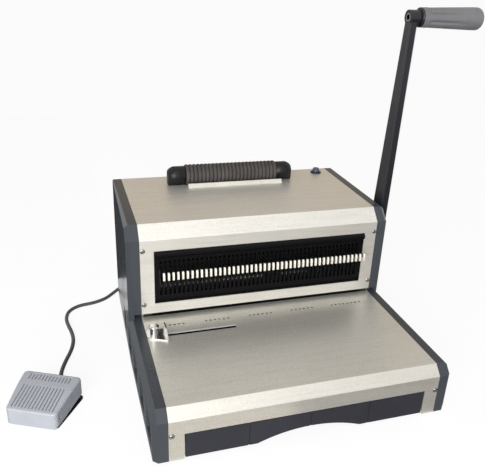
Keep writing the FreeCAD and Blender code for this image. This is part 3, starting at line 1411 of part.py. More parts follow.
def power_button():
    """Round push button that travels in the bezel."""
    body = new_body("power_button")
    radius = S.button_cap / 2 - 1
    sketch = sketch_on(body, "XZ_Plane")
    outline(sketch, [
        (0, -S.button_stem), (radius, -S.button_stem), (radius, S.button_stand - 1.5),
        (radius - 1.2, S.button_stand),
        (0, S.button_stand)])
    revolution = body.newObject("PartDesign::Revolution", "button_revolution")
    revolution.Profile = sketch
    revolution.ReferenceAxis = (origin_part(body, "Z_Axis"), [""])
    revolution.Angle = 360
    place(body, S.button_x, S.button_y, top + 2)
    return export(body)


def power_board():
    """Circuit board of the motor on four stand-offs, with its transformer and relay."""
    level = S.foot_height + S.frame_gauge + S.base_gauge
    left, front = S.board_left, S.board_front
    right, back = left + S.board_length, front + S.board_depth
    sill = level + S.board_stand
    face = sill + S.board_gauge
    board = block("board_sheet", left, right, front, back, sill, face)
    inset = S.board_leg
    legs = [rod("board_leg", S.board_leg / 2, S.board_stand, x, y, level)
            for x in (left + inset, right - inset) for y in (front + inset, back - inset)]
    start, near = left + inset * 2, front + inset * 2
    transformer = block("board_transformer", start, start + S.transformer_length, near,
                        near + S.transformer_depth, face, face + S.transformer_height)
    start = right - inset * 2 - S.relay_length
    relay = block("board_relay", start, start + S.relay_length, near, near + S.relay_depth,
                  face, face + S.relay_height)
    return export(fused("power_board", board, *legs, transformer, relay))


def mains_inlet():
    """Three-pin appliance inlet in the back."""
    x, z = S.inlet_x, S.inlet_z
    wide, high = S.inlet_width / 2, S.inlet_height / 2
    brim, edge = S.inlet_flange / 2, S.inlet_flange_height / 2
    wall = S.inlet_wall
    flange = block("inlet_flange", x - brim, x + brim, rear, rear + S.inlet_flange_gauge, z - edge, z + edge)
    can = block("inlet_can", x - wide, x + wide, rear - S.inlet_depth, rear + 1, z - high, z + high)
    well = block("inlet_well", x - wide + wall, x + wide - wall, rear - S.inlet_well,
                 rear + S.inlet_flange_gauge + 1, z - high + wall, z + high - wall)
    shell = cut("inlet_shell", fused("inlet_body", flange, can), well)
    pins = [block("inlet_pin", x + dx - 1, x + dx + 1, rear - S.inlet_well - 1, rear - 1,
                  z + dz - 2, z + dz + 2)
            for dx, dz in ((wide / -2, -2), (0, 3), (wide / 2, -2))]
    return export(fused("mains_inlet", shell, *pins))


def cord_gland():
    """Nut and tapered strain relief where the foot-switch cord enters the back."""
    x, z = -S.gland_x, S.gland_z
    skin, nut_height = S.sheet_gauge, S.gland_nut_height
    bore = S.cord_diameter / 2 + S.running_gap
    inner = rear - skin - nut_height
    thread = rod("gland_thread", S.gland_thread / 2 - S.running_gap, skin + nut_height * 2, x, inner - 1,
                 z, ALONG_Y)
    nut = rod("gland_nut", S.gland_nut / 2, nut_height, x, inner, z, ALONG_Y)
    collar = rod("gland_collar", S.gland_nut / 2, S.gland_collar, x, rear, z, ALONG_Y)
    relief = taper("gland_relief", S.gland_thread / 2, S.cord_diameter / 2 + 1,
                   S.gland_length - S.gland_collar, x, rear + S.gland_collar, z, ALONG_Y)
    passage = rod("gland_passage", bore, S.gland_length, x, rear - S.gland_nut / 2, z, ALONG_Y)
    return export(cut("cord_gland", fused("gland_body", thread, nut, collar, relief), passage))


# ---------------------------------------------------------------- foot switch

def place_pedal(thing):
    """Put a piece drawn in the foot switch's own frame where the foot switch lies."""
    place(thing, S.pedal_x, S.pedal_y, 0, Rotation(Vector(0, 0, 1), float(S.pedal_turn)))
    return thing


def pedal_plan(sketch, inset, radius, setback=0.0):
    """Plan of the foot switch, wider at the back, inside a wall and with its front set back."""
    front = S.pedal_front / 2 - inset
    back = S.pedal_rear / 2 - inset
    return outline(sketch, [
        (-front, inset + setback, radius), (front, inset + setback, radius),
        (back, S.pedal_depth - inset, radius), (-back, S.pedal_depth - inset, radius)])


CROWN_SHARE = 0.6  # where along its depth the treadle is highest


def treadle_block(label, inset, radius):
    """Solid of the treadle's outside, or of its hollow: a plan block under a domed, sloping top."""
    body = new_body(label)
    pad(body, pedal_plan(sketch_on(body, "XY_Plane"), inset, radius), S.pedal_high + 10)
    beyond = S.pedal_depth + 20
    crown = S.pedal_depth * CROWN_SHARE
    slope = (S.pedal_crown - S.pedal_low) / crown.value
    drop = (S.pedal_crown - S.pedal_high) / (S.pedal_depth.value - crown.value)
    sketch = sketch_on(body, "YZ_Plane", -S.pedal_rear)
    outline(sketch, [
        (-20, S.pedal_low - inset - slope * 20), (crown, S.pedal_crown - inset, 90),
        (beyond, S.pedal_high - inset - drop * 20), (beyond, S.pedal_high + 20),
        (-20, S.pedal_high + 20)])
    pocket(body, sketch, S.pedal_rear * 2, along_normal=True)
    return body


def pedal_treadle():
    """Grey moulded treadle with two fields of ribs, hinged near its front edge."""
    body = treadle_block("treadle_outside", 0, 6)
    low = float(S.pedal_low) - 4
    dress(body, "Fillet", 3, lambda middle, run: middle.z > low and run.Length > 0.5)
    sketch = sketch_on(body, "YZ_Plane", -S.pedal_rear)
    outline(sketch, [
        (-10, -1), (S.pedal_depth + 10, -1), (S.pedal_depth + 10, S.pedal_skirt_rear),
        (S.pedal_depth, S.pedal_skirt_rear), (S.pedal_pivot_y + 2, S.pedal_skirt_front),
        (S.pedal_wall, S.pedal_skirt_front), (S.pedal_wall, S.pedal_apron), (-10, S.pedal_apron)])
    pocket(body, sketch, S.pedal_rear * 2, along_normal=True)
    first = S.pedal_rib_pitch * (S.pedal_rib_count - 1) / -2
    margin = S.pedal_rib_margin
    for start, stop in ((margin, S.pedal_depth * 0.62), (S.pedal_depth * 0.76, S.pedal_depth - margin)):
        groove = rib_groove(body, first, start, stop)
        row_pattern(body, [groove], "X_Axis", S.pedal_rib_pitch, S.pedal_rib_count)
    hollow = treadle_block("treadle_hollow", S.pedal_wall, 4)
    hinge = rod("treadle_hinge_hole", S.pedal_pin / 2 + S.running_gap, S.pedal_rear * 2, -S.pedal_rear,
                S.pedal_pivot_y, S.pedal_pivot_z, ALONG_X)
    shell = cut("treadle_shell", body, hollow, hinge)
    reach = S.pedal_crown - S.pedal_wall / 2 - S.pedal_finger
    finger = rod("treadle_finger", S.pedal_finger_diameter / 2, reach, 0,
                 S.pedal_switch_y, S.pedal_finger)
    return export(place_pedal(fused("pedal_treadle", shell, finger)))


def rib_groove(body, x, start, stop):
    """One groove between two ribs of the treadle, following its sloping top."""
    half_groove = (S.pedal_rib_pitch - S.pedal_rib) / 4
    sketch = sketch_on(body, "YZ_Plane", x - half_groove)
    outline(sketch, [
        (start, treadle_level(start) - S.pedal_rib_depth), (stop, treadle_level(stop) - S.pedal_rib_depth),
        (stop, S.pedal_high + 20), (start, S.pedal_high + 20)])
    return pocket(body, sketch, half_groove * 2, along_normal=True)


def treadle_level(y):
    """Height of the treadle's top at a distance from its front edge."""
    crown = S.pedal_depth * CROWN_SHARE
    if float(y) < float(crown):
        return S.pedal_low + (S.pedal_crown - S.pedal_low) * (float(y) / float(crown))
    share = (float(y) - float(crown)) / (float(S.pedal_depth) - float(crown))
    return S.pedal_crown - (S.pedal_crown - S.pedal_high) * share


def pedal_base():
    """Dark base of the foot switch with the hinge lugs and the cord's boss."""
    plinth = new_body("pedal_plinth")
    pad(plinth, pedal_plan(sketch_on(plinth, "XY_Plane"), 0, 4, S.pedal_wall + 1), S.pedal_plinth)
    riser = new_body("pedal_riser")
    inset = S.pedal_wall + 0.8
    pad(riser, pedal_plan(sketch_on(riser, "XY_Plane"), inset, 3), S.pedal_base_height)
    reach = lug_reach()
    lugs = []
    for side in (-1, 1):
        left = reach - S.pedal_lug if side > 0 else -reach
        lugs.append(block("pedal_lug", left, left + S.pedal_lug, S.pedal_pivot_y - S.pedal_lug,
                          S.pedal_pivot_y + S.pedal_lug, S.pedal_base_height - 1,
                          S.pedal_pivot_z + S.pedal_lug))
    tongue = block("pedal_tongue", S.pedal_gland_x - 4, S.pedal_gland_x + 4, S.pedal_depth - 8,
                   S.pedal_depth + 1.5, 0, S.pedal_base_height)
    boss = rod("pedal_boss", S.pedal_gland / 2, S.pedal_gland_reach - 0.6, S.pedal_gland_x,
               S.pedal_depth + 0.6, S.pedal_gland / 2 + 0.5, ALONG_Y)
    hinge = rod("pedal_lug_hole", S.pedal_pin / 2, S.pedal_rear, S.pedal_rear / -2, S.pedal_pivot_y,
                S.pedal_pivot_z, ALONG_X)
    body = fused("pedal_base_body", plinth, riser, *lugs, tongue, boss)
    return export(place_pedal(cut("pedal_base", body, hinge)))


def lug_reach():
    """Outer face of the base's hinge lugs, from the foot switch's middle."""
    taper_share = (S.pedal_rear - S.pedal_front) / 2 / S.pedal_depth.value
    return S.pedal_front / 2 + taper_share * (S.pedal_pivot_y - S.pedal_lug) - S.pedal_wall - 1


def pedal_pin():
    """Hinge pin of the treadle, its ends flush with the treadle's sides."""
    reach = lug_reach() + S.pedal_wall + 1.3
    pin = rod("pedal_pin_rod", S.pedal_pin / 2, reach * 2, -reach, S.pedal_pivot_y, S.pedal_pivot_z, ALONG_X)
    return export(place_pedal(group("pedal_pin", pin)))


def pedal_spring():
    """Torsion spring on the hinge pin: one leg on the base, the other under the treadle."""
    wire = S.pedal_spring_wire.value / 2
    winding = S.pedal_pin.value / 2 + S.pedal_spring_slack.value + wire
    start_angle, turned = -105, 360 * 3 + 141.4
    height = S.pedal_spring_pitch.value * turned / 360
    rise = S.pedal_spring_pitch.value / (2 * math.pi * winding)
    angle = math.radians(turned)
    first_way = Vector(0, 1, rise).normalize()
    last_way = Vector(-math.sin(angle), math.cos(angle), rise).normalize()
    first = Vector(winding, 0, 0)
    last = Vector(winding * math.cos(angle), winding * math.sin(angle), height)
    leg = S.pedal_spring_leg.value
    coil = helix_solid(winding, height, turned / 360, wire)
    foot = Part.makeCylinder(wire, leg, first, -first_way)
    arm = Part.makeCylinder(wire, leg, last, last_way)
    cosine, sine = math.cos(math.radians(start_angle)), math.sin(math.radians(start_angle))
    turn = Placement(Matrix(
        0, 0, -1, height / 2 + S.pedal_spring_x.value,
        cosine, sine, 0, S.pedal_pivot_y.value,
        sine, -cosine, 0, S.pedal_pivot_z.value,
        0, 0, 0, 1))
    wires = Part.makeCompound([coil, foot, arm])
    wires.Placement = turn
    return export(place_pedal(group("pedal_spring", feature("pedal_spring_wire", wires))))


def pedal_switch():
    """Snap-action switch on the base, under the treadle's finger."""
    level = S.pedal_base_height
    y = S.pedal_switch_y
    wide, deep = S.pedal_switch_width / 2, S.pedal_switch_depth / 2
    case = block("switch_case", -wide, wide, y - deep, y + deep, level, S.pedal_finger - 4)
    button = rod("switch_button", 1.6, 2, 0, y, S.pedal_finger - 4.5)
    return export(place_pedal(fused("pedal_switch", case, button)))


# ---------------------------------------------------------------- foot-switch cord

def cord_level():
    """Height of the cord's axis where it lies on the floor."""
    return S.cord_diameter.value / 2


def pedal_point(x, y, z):
    """A point of the foot switch's own frame, in the machine's frame."""
    turn = Rotation(Vector(0, 0, 1), float(S.pedal_turn))
    return turn.multVec(Vector(x, y, z)) + Vector(float(S.pedal_x), float(S.pedal_y), 0)


def front_route():
    """Corner points of the cord from the foot switch along the floor to its coil."""
    floor = cord_level()
    boss = float(S.pedal_depth + S.pedal_gland_reach)
    mouth = pedal_point(float(S.pedal_gland_x), boss, float(S.pedal_gland) / 2 + 0.5)
    first = pedal_point(float(S.pedal_gland_x), boss + 16, mouth.z)
    bends = [(-286.5, 0.5, 3.0), (-279.9, 24.5, floor), (-271.5, 48, floor), (-266.9, 73.5, floor),
             (-269, 98.5, floor), (-274.2, 122, floor), (-276, 142, floor), (-270.5, 163, floor),
             (-254, 176, floor), (-232, 179, floor), (-212, 188, floor), (-197, 205, floor),
             (-183, 223, floor), (-161, 237, floor), (-136.5, 243, floor)]
    entry = coil_centre() + Vector(0, -outer_turn(), floor)
    return [mouth, first] + [Vector(*bend) for bend in bends] + [entry]


def rear_route():
    """Corner points of the cord from the top of its coil up to the gland in the back."""
    gland = Vector(-float(S.gland_x), float(rear + S.gland_length), float(S.gland_z))
    start = coil_centre() + Vector(-outer_turn(), 0, cord_level() + float(S.cord_diameter))
    return [start, start + Vector(0, -17, 0), gland + Vector(0, 17, 0), gland]


def coil_centre():
    """Centre of the coiled-up cord on the floor behind the machine."""
    return Vector(-float(S.gland_x) + outer_turn(), float(rear) + S.coil_stand.value, 0)


def outer_turn():
    """Radius of the coil's outermost turn."""
    return S.coil_diameter.value / 2 + S.cord_diameter.value * (S.coil_rows.value - 1) / 2


def cord_tube(label, route):
    """A round cord along straight runs joined by tangent arcs; prints each bend's radius."""
    edges = []
    length = 0
    radii = []
    start = route[0]
    for before, corner, after in zip(route, route[1:], route[2:]):
        back = before - corner
        ahead = after - corner
        half_turn = (math.pi - back.getAngle(ahead)) / 2
        reach = 0.45 * min(back.Length, ahead.Length)
        radii.append(reach / math.tan(half_turn))
        arc_in = corner + back.normalize() * reach
        arc_out = corner + ahead.normalize() * reach
        centre_way = (arc_in + arc_out) * 0.5 - corner
        bisector = Vector(centre_way).normalize()
        middle = corner + bisector * (reach * math.tan(half_turn / 2))
        edges.append(Part.LineSegment(start, arc_in).toShape())
        edges.append(Part.Arc(arc_in, middle, arc_out).toShape())
        length += (arc_in - start).Length + radii[-1] * half_turn * 2
        start = arc_out
    edges.append(Part.LineSegment(start, route[-1]).toShape())
    length += (route[-1] - start).Length
    print("%s: %.0f mm long, smallest bend radius %.1f mm, radii %s" % (
        label, length, min(radii), " ".join("%.0f" % radius for radius in radii)))
    way = (route[1] - route[0]).normalize()
    section = Part.Wire(Part.makeCircle(float(S.cord_diameter) / 2, route[0], way))
    return export(feature(label, Part.Wire(edges).makePipeShell([section], True, False)))


def foot_cord_coil():
    """The spare length of the cord, coiled flat: one plain ring around all its turns."""
    rows = float(S.coil_rows) * float(S.cord_diameter) / 2
    mean = float(S.coil_diameter) / 2
    height = float(S.coil_layers) * float(S.cord_diameter)
    outer = Part.makeCylinder(mean + rows, height, coil_centre())
    inner = Part.makeCylinder(mean - rows, height, coil_centre())
    return export(feature("foot_cord_coil", outer.cut(inner)))


# ---------------------------------------------------------------- build and export

def build():
    """Build every sub-part."""
    side_panels()
    side_frame(-1)
    side_frame(1)
    for make in (upper_cover, table_cover, rear_cover, base_plate, table_brace, feet, cover_screws,
                 die_bed, die_spacers, paper_stop, pin_guard, pressure_bar, punches, pull_pins, racks,
                 pinions, drive_shaft, shaft_bushes, ram_guides, return_springs, lever_arm, grip_bolt,
                 grip, guide_bracket, guide_knob, guide_nut, drawer_front, drawer_tray, drawer_runners,
                 roller_caps, roller_core, roller_sleeve, drive_belt, drive_motor, motor_bracket,
                 coil_rest, button_bezel, power_button, power_board, mains_inlet, cord_gland,
                 pedal_treadle, pedal_base, pedal_pin, pedal_spring, pedal_switch, foot_cord_coil):
        make()
    drilled_plate("die_plate", die_top - S.die_thickness, S.die_thickness, frame_inner)
    drilled_plate("guide_plate", guide_sill, S.guide_thickness, frame_inner)
    pulley("roller_pulley", S.roller_height, None, None)
    pulley("motor_pulley", motor_height(), pulley_left(), motor_left() + S.motor_boss_length)
    cord_tube("foot_cord_front", front_route())
    cord_tube("foot_cord_rear", rear_route())
    doc.recompute()


def check():
    """Stop if any object failed or any exported shape is empty or invalid."""
    failed = [thing.Label for thing in doc.Objects if "Invalid" in thing.State or "Error" in thing.State]
    if failed:
        raise RuntimeError("objects in error: " + ", ".join(failed))
    for thing in EXPORTS:
        if thing.Shape.isNull() or not thing.Shape.isValid() or thing.Shape.Volume < 1:
            raise RuntimeError("bad shape: " + thing.Label)


def write():
    """Write one STEP file for each sub-part."""
    os.makedirs("parts", exist_ok=True)
    for thing in EXPORTS:
        thing.Shape.exportStep(os.path.join("parts", thing.Label + ".step"))
        print("%-22s %2d solids %10.0f mm3" % (thing.Label, len(thing.Shape.Solids), thing.Shape.Volume))
    print(len(EXPORTS), "sub-parts")


build()
check()
write()
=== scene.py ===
"""Coil binding punch: the finishes, foot cord, fastenings and light around its solids.

Metres, +Z up.  The origin lies on the desk under the middle of the machine, x runs to
the operator's right and y = 0 is the front face of the upper housing.
"""

import json
import logging
import math
from dataclasses import dataclass
from enum import Enum

import bmesh
import bpy
import numpy as np
from mathutils import Matrix, Vector

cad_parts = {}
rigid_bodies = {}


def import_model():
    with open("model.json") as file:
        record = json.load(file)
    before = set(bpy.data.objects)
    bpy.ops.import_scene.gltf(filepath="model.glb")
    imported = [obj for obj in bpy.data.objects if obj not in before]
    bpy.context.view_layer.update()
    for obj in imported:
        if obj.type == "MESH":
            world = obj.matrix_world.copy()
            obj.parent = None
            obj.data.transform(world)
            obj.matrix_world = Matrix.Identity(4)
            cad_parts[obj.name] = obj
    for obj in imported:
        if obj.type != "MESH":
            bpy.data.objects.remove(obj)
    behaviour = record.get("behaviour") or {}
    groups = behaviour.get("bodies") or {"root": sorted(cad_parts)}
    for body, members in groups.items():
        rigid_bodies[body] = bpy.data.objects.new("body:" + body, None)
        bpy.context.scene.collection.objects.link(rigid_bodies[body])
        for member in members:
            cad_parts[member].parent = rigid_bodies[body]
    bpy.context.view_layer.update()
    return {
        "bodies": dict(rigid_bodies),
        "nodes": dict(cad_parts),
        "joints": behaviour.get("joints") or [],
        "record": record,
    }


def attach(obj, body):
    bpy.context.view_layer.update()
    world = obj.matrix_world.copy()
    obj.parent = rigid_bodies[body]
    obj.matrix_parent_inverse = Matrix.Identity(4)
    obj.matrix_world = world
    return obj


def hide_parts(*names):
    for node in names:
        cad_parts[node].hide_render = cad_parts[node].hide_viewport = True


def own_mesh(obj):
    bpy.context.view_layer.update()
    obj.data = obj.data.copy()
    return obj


LOG = logging.getLogger("coil_binding_punch")
MM = 0.001
Point = tuple[float, float, float]
Span = tuple[float, float]
Colour = tuple[float, float, float, float]
Socket = bpy.types.NodeSocket
Finishes = dict[str, bpy.types.Material]


class Body(Enum):
    """The bodies that the pieces made here ride on."""

    HOUSING = "housing"
    HANDGRIP = "handgrip"
    ROLLER = "roller"


class Grain(Enum):
    """Direction of the fine lines in a finish, as the stretch of its noise along x, y, z."""

    EVERY_WAY = (1.0, 1.0, 1.0)
    ALONG_X = (0.02, 1.0, 1.0)
    ALONG_Y = (1.0, 0.02, 1.0)
    ALONG_Z = (1.0, 1.0, 0.02)


def linear(code: str) -> Colour:
    """Turn a colour as it is seen into light.

    Each channel c from 0 to 1 becomes ((c + 0.055) / 1.055) ** 2.4, or c / 12.92 near black.

    Args:
        code: six hexadecimal digits, red, green and blue.

    Returns:
        Red, green, blue and an alpha of 1.
    """
    seen = [int(code[i : i + 2], 16) / 255 for i in (0, 2, 4)]
    light = [c / 12.92 if c <= 0.04045 else ((c + 0.055) / 1.055) ** 2.4 for c in seen]
    return (light[0], light[1], light[2], 1.0)


def noded(name: str) -> bpy.types.Material:
    """Make a material that has nodes."""
    material = bpy.data.materials.new(name)
    material.use_nodes = True
    return material


def placed(name: str, data: bpy.types.ID) -> bpy.types.Object:
    """Make an object of a mesh, curve, lamp or camera and put it into the scene."""
    made = bpy.data.objects.new(name, data)
    bpy.context.scene.collection.objects.link(made)
    return made


# ---------- finishes


class NodeTree:
    """A node tree, with short calls that add nodes to it."""

    def __init__(self, tree: bpy.types.NodeTree) -> None:
        """Take the tree to add to."""
        self.tree = tree

    def feed(self, socket: Socket, value: object) -> None:
        """Link a node's output to a socket, or set the socket to a number or colour."""
        if isinstance(value, Socket):
            self.tree.links.new(value, socket)
        else:
            socket.default_value = value

    def node(self, kind: str, **inputs: object) -> bpy.types.ShaderNode:
        """Add a shader node and feed the inputs that are named, with _ for each space."""
        made = self.tree.nodes.new("ShaderNode" + kind)
        for name, value in inputs.items():
            self.feed(made.inputs[name.replace("_", " ")], value)
        return made

    def maths(self, kind: str, first: object, second: object) -> Socket:
        """One Math node; each operand is a number or a node's output."""
        node = self.node("Math")
        node.operation = kind
        for socket, value in zip(node.inputs, (first, second)):
            self.feed(socket, value)
        return node.outputs["Value"]


class FinishTree(NodeTree):
    """The nodes of one material, with a short call for each kind that the finishes use."""

    # Sockets of the Mix node that carry colours: its two operands and its result.
    mix_colours = (6, 7)
    mix_result = 2

    def __init__(self, name: str) -> None:
        """Start with the shader, its output and the object's own coordinates.

        Args:
            name: the material's name.
        """
        self.material = noded(name)
        super().__init__(self.material.node_tree)
        self.shader = self.tree.nodes["Principled BSDF"]
        self.point = self.node("TexCoord").outputs["Object"]

    def set(self, socket: str, value: object) -> None:
        """Set a number or colour on the shader, or link a node's output to it."""
        self.feed(self.shader.inputs[socket], value)

    def noise(self, scale: float, detail: float = 2.0, stretch: Point = (1, 1, 1)) -> Socket:
        """Smooth noise about 0.5.

        Args:
            scale: waves in a metre.
            detail: octaves of finer waves.
            stretch: scale of the coordinates along x, y and z.

        Returns:
            The noise's value.
        """
        drawn_out = self.node("Mapping", Scale=stretch, Vector=self.point).outputs["Vector"]
        return self.node("TexNoise", Scale=scale, Detail=detail, Vector=drawn_out).outputs["Fac"]

    def ranged(self, value: Socket, start: float, end: float, low: float, high: float) -> Socket:
        """Carry the range from start to end onto the range from low to high, and clamp it."""
        node = self.node(
            "MapRange", From_Min=start, From_Max=end, To_Min=low, To_Max=high, Value=value
        )
        return node.outputs["Result"]

    def mixed(self, share: Socket, first: object, second: object) -> Socket:
        """Blend from the first colour to the second by share."""
        node = self.node("Mix", Factor=share)
        node.data_type = "RGBA"
        for number, value in zip(self.mix_colours, (first, second)):
            self.feed(node.inputs[number], value)
        return node.outputs[self.mix_result]

    def place(self, axis: str, point: Socket | None = None) -> Socket:
        """Distance of the surface's point from the origin along x, y or z."""
        return self.node("SeparateXYZ", Vector=point or self.point).outputs[axis]

    def moved(self, origin: Point, turn: float) -> Socket:
        """Read the coordinates from another origin, on axes turned about z by turn degrees."""
        rotation = (0.0, 0.0, math.radians(turn))
        node = self.node("Mapping", Location=origin, Rotation=rotation, Vector=self.point)
        node.vector_type = "TEXTURE"
        return node.outputs["Vector"]

    def radius(self, y: float, z: float) -> Socket:
        """Distance of the surface's point from a line along x through y and z."""
        across = self.maths("SUBTRACT", self.place("Y"), y)
        upward = self.maths("SUBTRACT", self.place("Z"), z)
        squares = self.maths(
            "ADD", self.maths("MULTIPLY", across, across), self.maths("MULTIPLY", upward, upward)
        )
        return self.maths("POWER", squares, 0.5)

    def tint(self, share: Socket, colour: str) -> None:
        """Blend the colour that the shader has so far to another one by share."""
        so_far = self.shader.inputs["Base Color"].links[0].from_socket
        self.set("Base Color", self.mixed(share, so_far, linear(colour)))

    def bumped(self, height: Socket, depth: float) -> Socket:
        """Raise the surface by height, from 0 to 1, times depth in metres."""
        return self.node("Bump", Distance=depth, Height=height).outputs["Normal"]


@dataclass(frozen=True)
class Finish:
    """A finish: a colour with a darker mottle, a roughness that varies, and a fine relief.

    The patch and the grit are given in waves in a metre, the relief in metres.
    """

    name: str
    colour: str
    shade: str
    roughness: float = 0.5
    patch: float = 40.0
    grit: float = 2000.0
    relief: float = 0.00003
    metallic: float = 0.0
    specular: float = 0.5
    unevenness: float = 0.08
    grain: Grain = Grain.EVERY_WAY
    patch_span: Span = (0.35, 0.7)
    patch_share: float = 0.55
    grit_span: Span = (0.4, 0.7)
    grit_share: float = 0.45
    gloss_span: Span = (0.3, 0.7)

    def material(self) -> bpy.types.Material:
        """Make the material.

        The colour goes to the shade by patches and grit, each noise over its own span; grit
        also raises the surface, and the patches vary the roughness by the unevenness.

        Returns:
            The material with its nodes.
        """
        tree = FinishTree(self.name)
        patches = tree.noise(self.patch, 3.0)
        grit = tree.noise(self.grit, 2.0, self.grain.value)
        share = tree.maths(
            "ADD",
            tree.ranged(patches, *self.patch_span, 0.0, self.patch_share),
            tree.ranged(grit, *self.grit_span, 0.0, self.grit_share),
        )
        tree.set("Base Color", tree.mixed(share, linear(self.colour), linear(self.shade)))
        rough = (self.roughness - self.unevenness, self.roughness + self.unevenness)
        tree.set("Roughness", tree.ranged(patches, *self.gloss_span, *rough))
        tree.set("Normal", tree.bumped(grit, self.relief))
        tree.set("Metallic", self.metallic)
        tree.set("Specular IOR Level", self.specular)
        self.trim(tree)
        return tree.material

    def trim(self, tree: FinishTree) -> None:
        """Add what a special finish has beside the plain one; nothing here."""


@dataclass(frozen=True)
class FleckLacquer(Finish):
    """Champagne metal lacquer on sheet steel: fine flakes over faint lines of the steel."""

    patch: float = 5.0
    grit: float = 2200.0
    relief: float = 0.000012
    metallic: float = 0.6
    unevenness: float = 0.04
    fleck: str = "8f8a80"
    fleck_scale: float = 1100.0
    fleck_span: Span = (0.5, 0.7)
    fleck_share: float = 0.4
    line_scale: float = 260.0
    line_stretch: Point = (0.06, 1.0, 1.0)
    line_span: Span = (0.45, 0.65)
    line_share: float = 0.1

    def trim(self, tree: FinishTree) -> None:
        """Lay faint lines along x and dark flakes over the plain colour."""
        fine = tree.noise(self.fleck_scale, 1.0)
        flakes = tree.ranged(fine, *self.fleck_span, 0.0, self.fleck_share)
        lines = tree.noise(self.line_scale, 2.0, self.line_stretch)
        faint = tree.ranged(lines, *self.line_span, 0.0, self.line_share)
        tree.tint(faint, self.fleck)
        tree.tint(flakes, self.fleck)


@dataclass(frozen=True)
class TableLacquer(FleckLacquer):
    """The lacquer on the table, with a painted highlight along the rear edge of the guide's slot.
    """

    edge_front: float = -0.0462
    edge_rear: float = -0.0442
    slot_end: float = -0.052
    soft: float = 0.0001
    # Colour of the painted highlight along the slot's rear edge.
    painted_highlight: str = "fbf9f4"

    def trim(self, tree: FinishTree) -> None:
        """Paint a highlight on the strip between edge_front and edge_rear, as far as the slot's
        end.
        """
        super().trim(tree)
        y = tree.place("Y")
        behind = tree.ranged(y, self.edge_front, self.edge_front + self.soft, 0.0, 1.0)
        before = tree.ranged(y, self.edge_rear - self.soft, self.edge_rear, 1.0, 0.0)
        along = tree.ranged(tree.place("X"), self.slot_end - self.soft, self.slot_end, 1.0, 0.0)
        strip = tree.maths("MULTIPLY", tree.maths("MULTIPLY", behind, before), along)
        tree.tint(strip, self.painted_highlight)


@dataclass(frozen=True)
class BrushedMetal(Finish):
    """Bare or plated metal with lines along one axis and a little stretch in its gloss."""

    relief: float = 0.00001
    metallic: float = 1.0
    anisotropy: float = 0.3

    def trim(self, tree: FinishTree) -> None:
        """Stretch the gloss along the lines."""
        tree.set("Anisotropic", self.anisotropy)


@dataclass(frozen=True)
class TabPlating(Finish):
    """Bright plating on the tabs of the pull pins; the strips behind them have painted shade."""

    tab_from: float = -0.0222
    soft: float = 0.0008
    # Colour of the painted shade on the strips recessed behind the tabs.
    shade_behind_tabs: str = "141414"

    def trim(self, tree: FinishTree) -> None:
        """Paint shade on whatever lies further back than the tabs."""
        behind = tree.ranged(tree.place("Y"), self.tab_from, self.tab_from + self.soft, 0.0, 1.0)
        tree.tint(behind, self.shade_behind_tabs)


@dataclass(frozen=True)
class ShadeEndedMoulding(Finish):
    """Grey moulding of the hand grip with painted shade at its arm end."""

    shade_end: float = 0.2136
    soft: float = 0.0002
    # Colour of the painted shade on the grip's end face and first millimetres.
    end_shade: str = "0d0d0d"

    def trim(self, tree: FinishTree) -> None:
        """Paint shade on all that lies nearer the arm than the shaded end's edge."""
        x = tree.place("X")
        near = tree.ranged(x, self.shade_end, self.shade_end + self.soft, 1.0, 0.0)
        tree.tint(near, self.end_shade)


@dataclass(frozen=True)
class RibbedRubber(Finish):
    """Rubber of the roller's sleeve: pale dusty ribs with painted shade in the grooves between
    them.
    """

    # Colour of the painted shade in the grooves.
    groove: str = "2b2826"
    axis_y: float = 0.168
    axis_z: float = 0.2206
    groove_radius: float = 0.0146
    rib_radius: float = 0.0156

    def trim(self, tree: FinishTree) -> None:
        """Paint shade into the colour from the ribs' tops down to the grooves' floors."""
        depth = tree.ranged(
            tree.radius(self.axis_y, self.axis_z), self.groove_radius, self.rib_radius, 1.0, 0.0
        )
        tree.tint(depth, self.groove)


@dataclass(frozen=True)
class SocketScrewFinish(BrushedMetal):
    """Black oxide on the grip's bolt, worn bright on the rim of its head."""

    axis_y: float = 0.030
    axis_z: float = 0.471
    rim_from: float = 0.0041
    rim_radius: float = 0.0044
    oxide: str = "0b0b0c"

    def trim(self, tree: FinishTree) -> None:
        """Blacken all that lies within the rim."""
        inside = tree.ranged(
            tree.radius(self.axis_y, self.axis_z), self.rim_from, self.rim_radius, 1.0, 0.0
        )
        tree.tint(inside, self.oxide)


@dataclass(frozen=True)
class TreadleMoulding(Finish):
    """Grey moulding of the foot switch, with painted shade in the grooves between the treadle's
    ribs.
    """

    # Colour of the painted shade in the grooves.
    groove: str = "858991"
    origin: Point = (-0.324, -0.1028, 0.0)
    turn: float = -25.9
    pitch: float = 0.0044
    groove_half: float = 0.0006
    soft: float = 0.0003
    reach: float = 0.0272
    zones: tuple[Span, ...] = ((0.0055, 0.0408), (0.0511, 0.0611))

    def trim(self, tree: FinishTree) -> None:
        """Paint shade near every whole pitch across the treadle, in both rows of ribs."""
        local = tree.moved(self.origin, self.turn)
        x, y = tree.place("X", local), tree.place("Y", local)
        to_groove = tree.maths("PINGPONG", x, self.pitch / 2)
        edge = self.groove_half + self.soft
        share = tree.ranged(to_groove, self.groove_half, edge, 1.0, 0.0)
        within = tree.maths("LESS_THAN", tree.maths("ABSOLUTE", x, 0.0), self.reach)
        rows = []
        for start, end in self.zones:
            off_middle = tree.maths("SUBTRACT", y, (start + end) / 2)
            away = tree.maths("ABSOLUTE", off_middle, 0.0)
            rows.append(tree.maths("LESS_THAN", away, (end - start) / 2))
        either = tree.maths("MAXIMUM", *rows)
        share = tree.maths("MULTIPLY", tree.maths("MULTIPLY", share, within), either)
        tree.tint(share, self.groove)


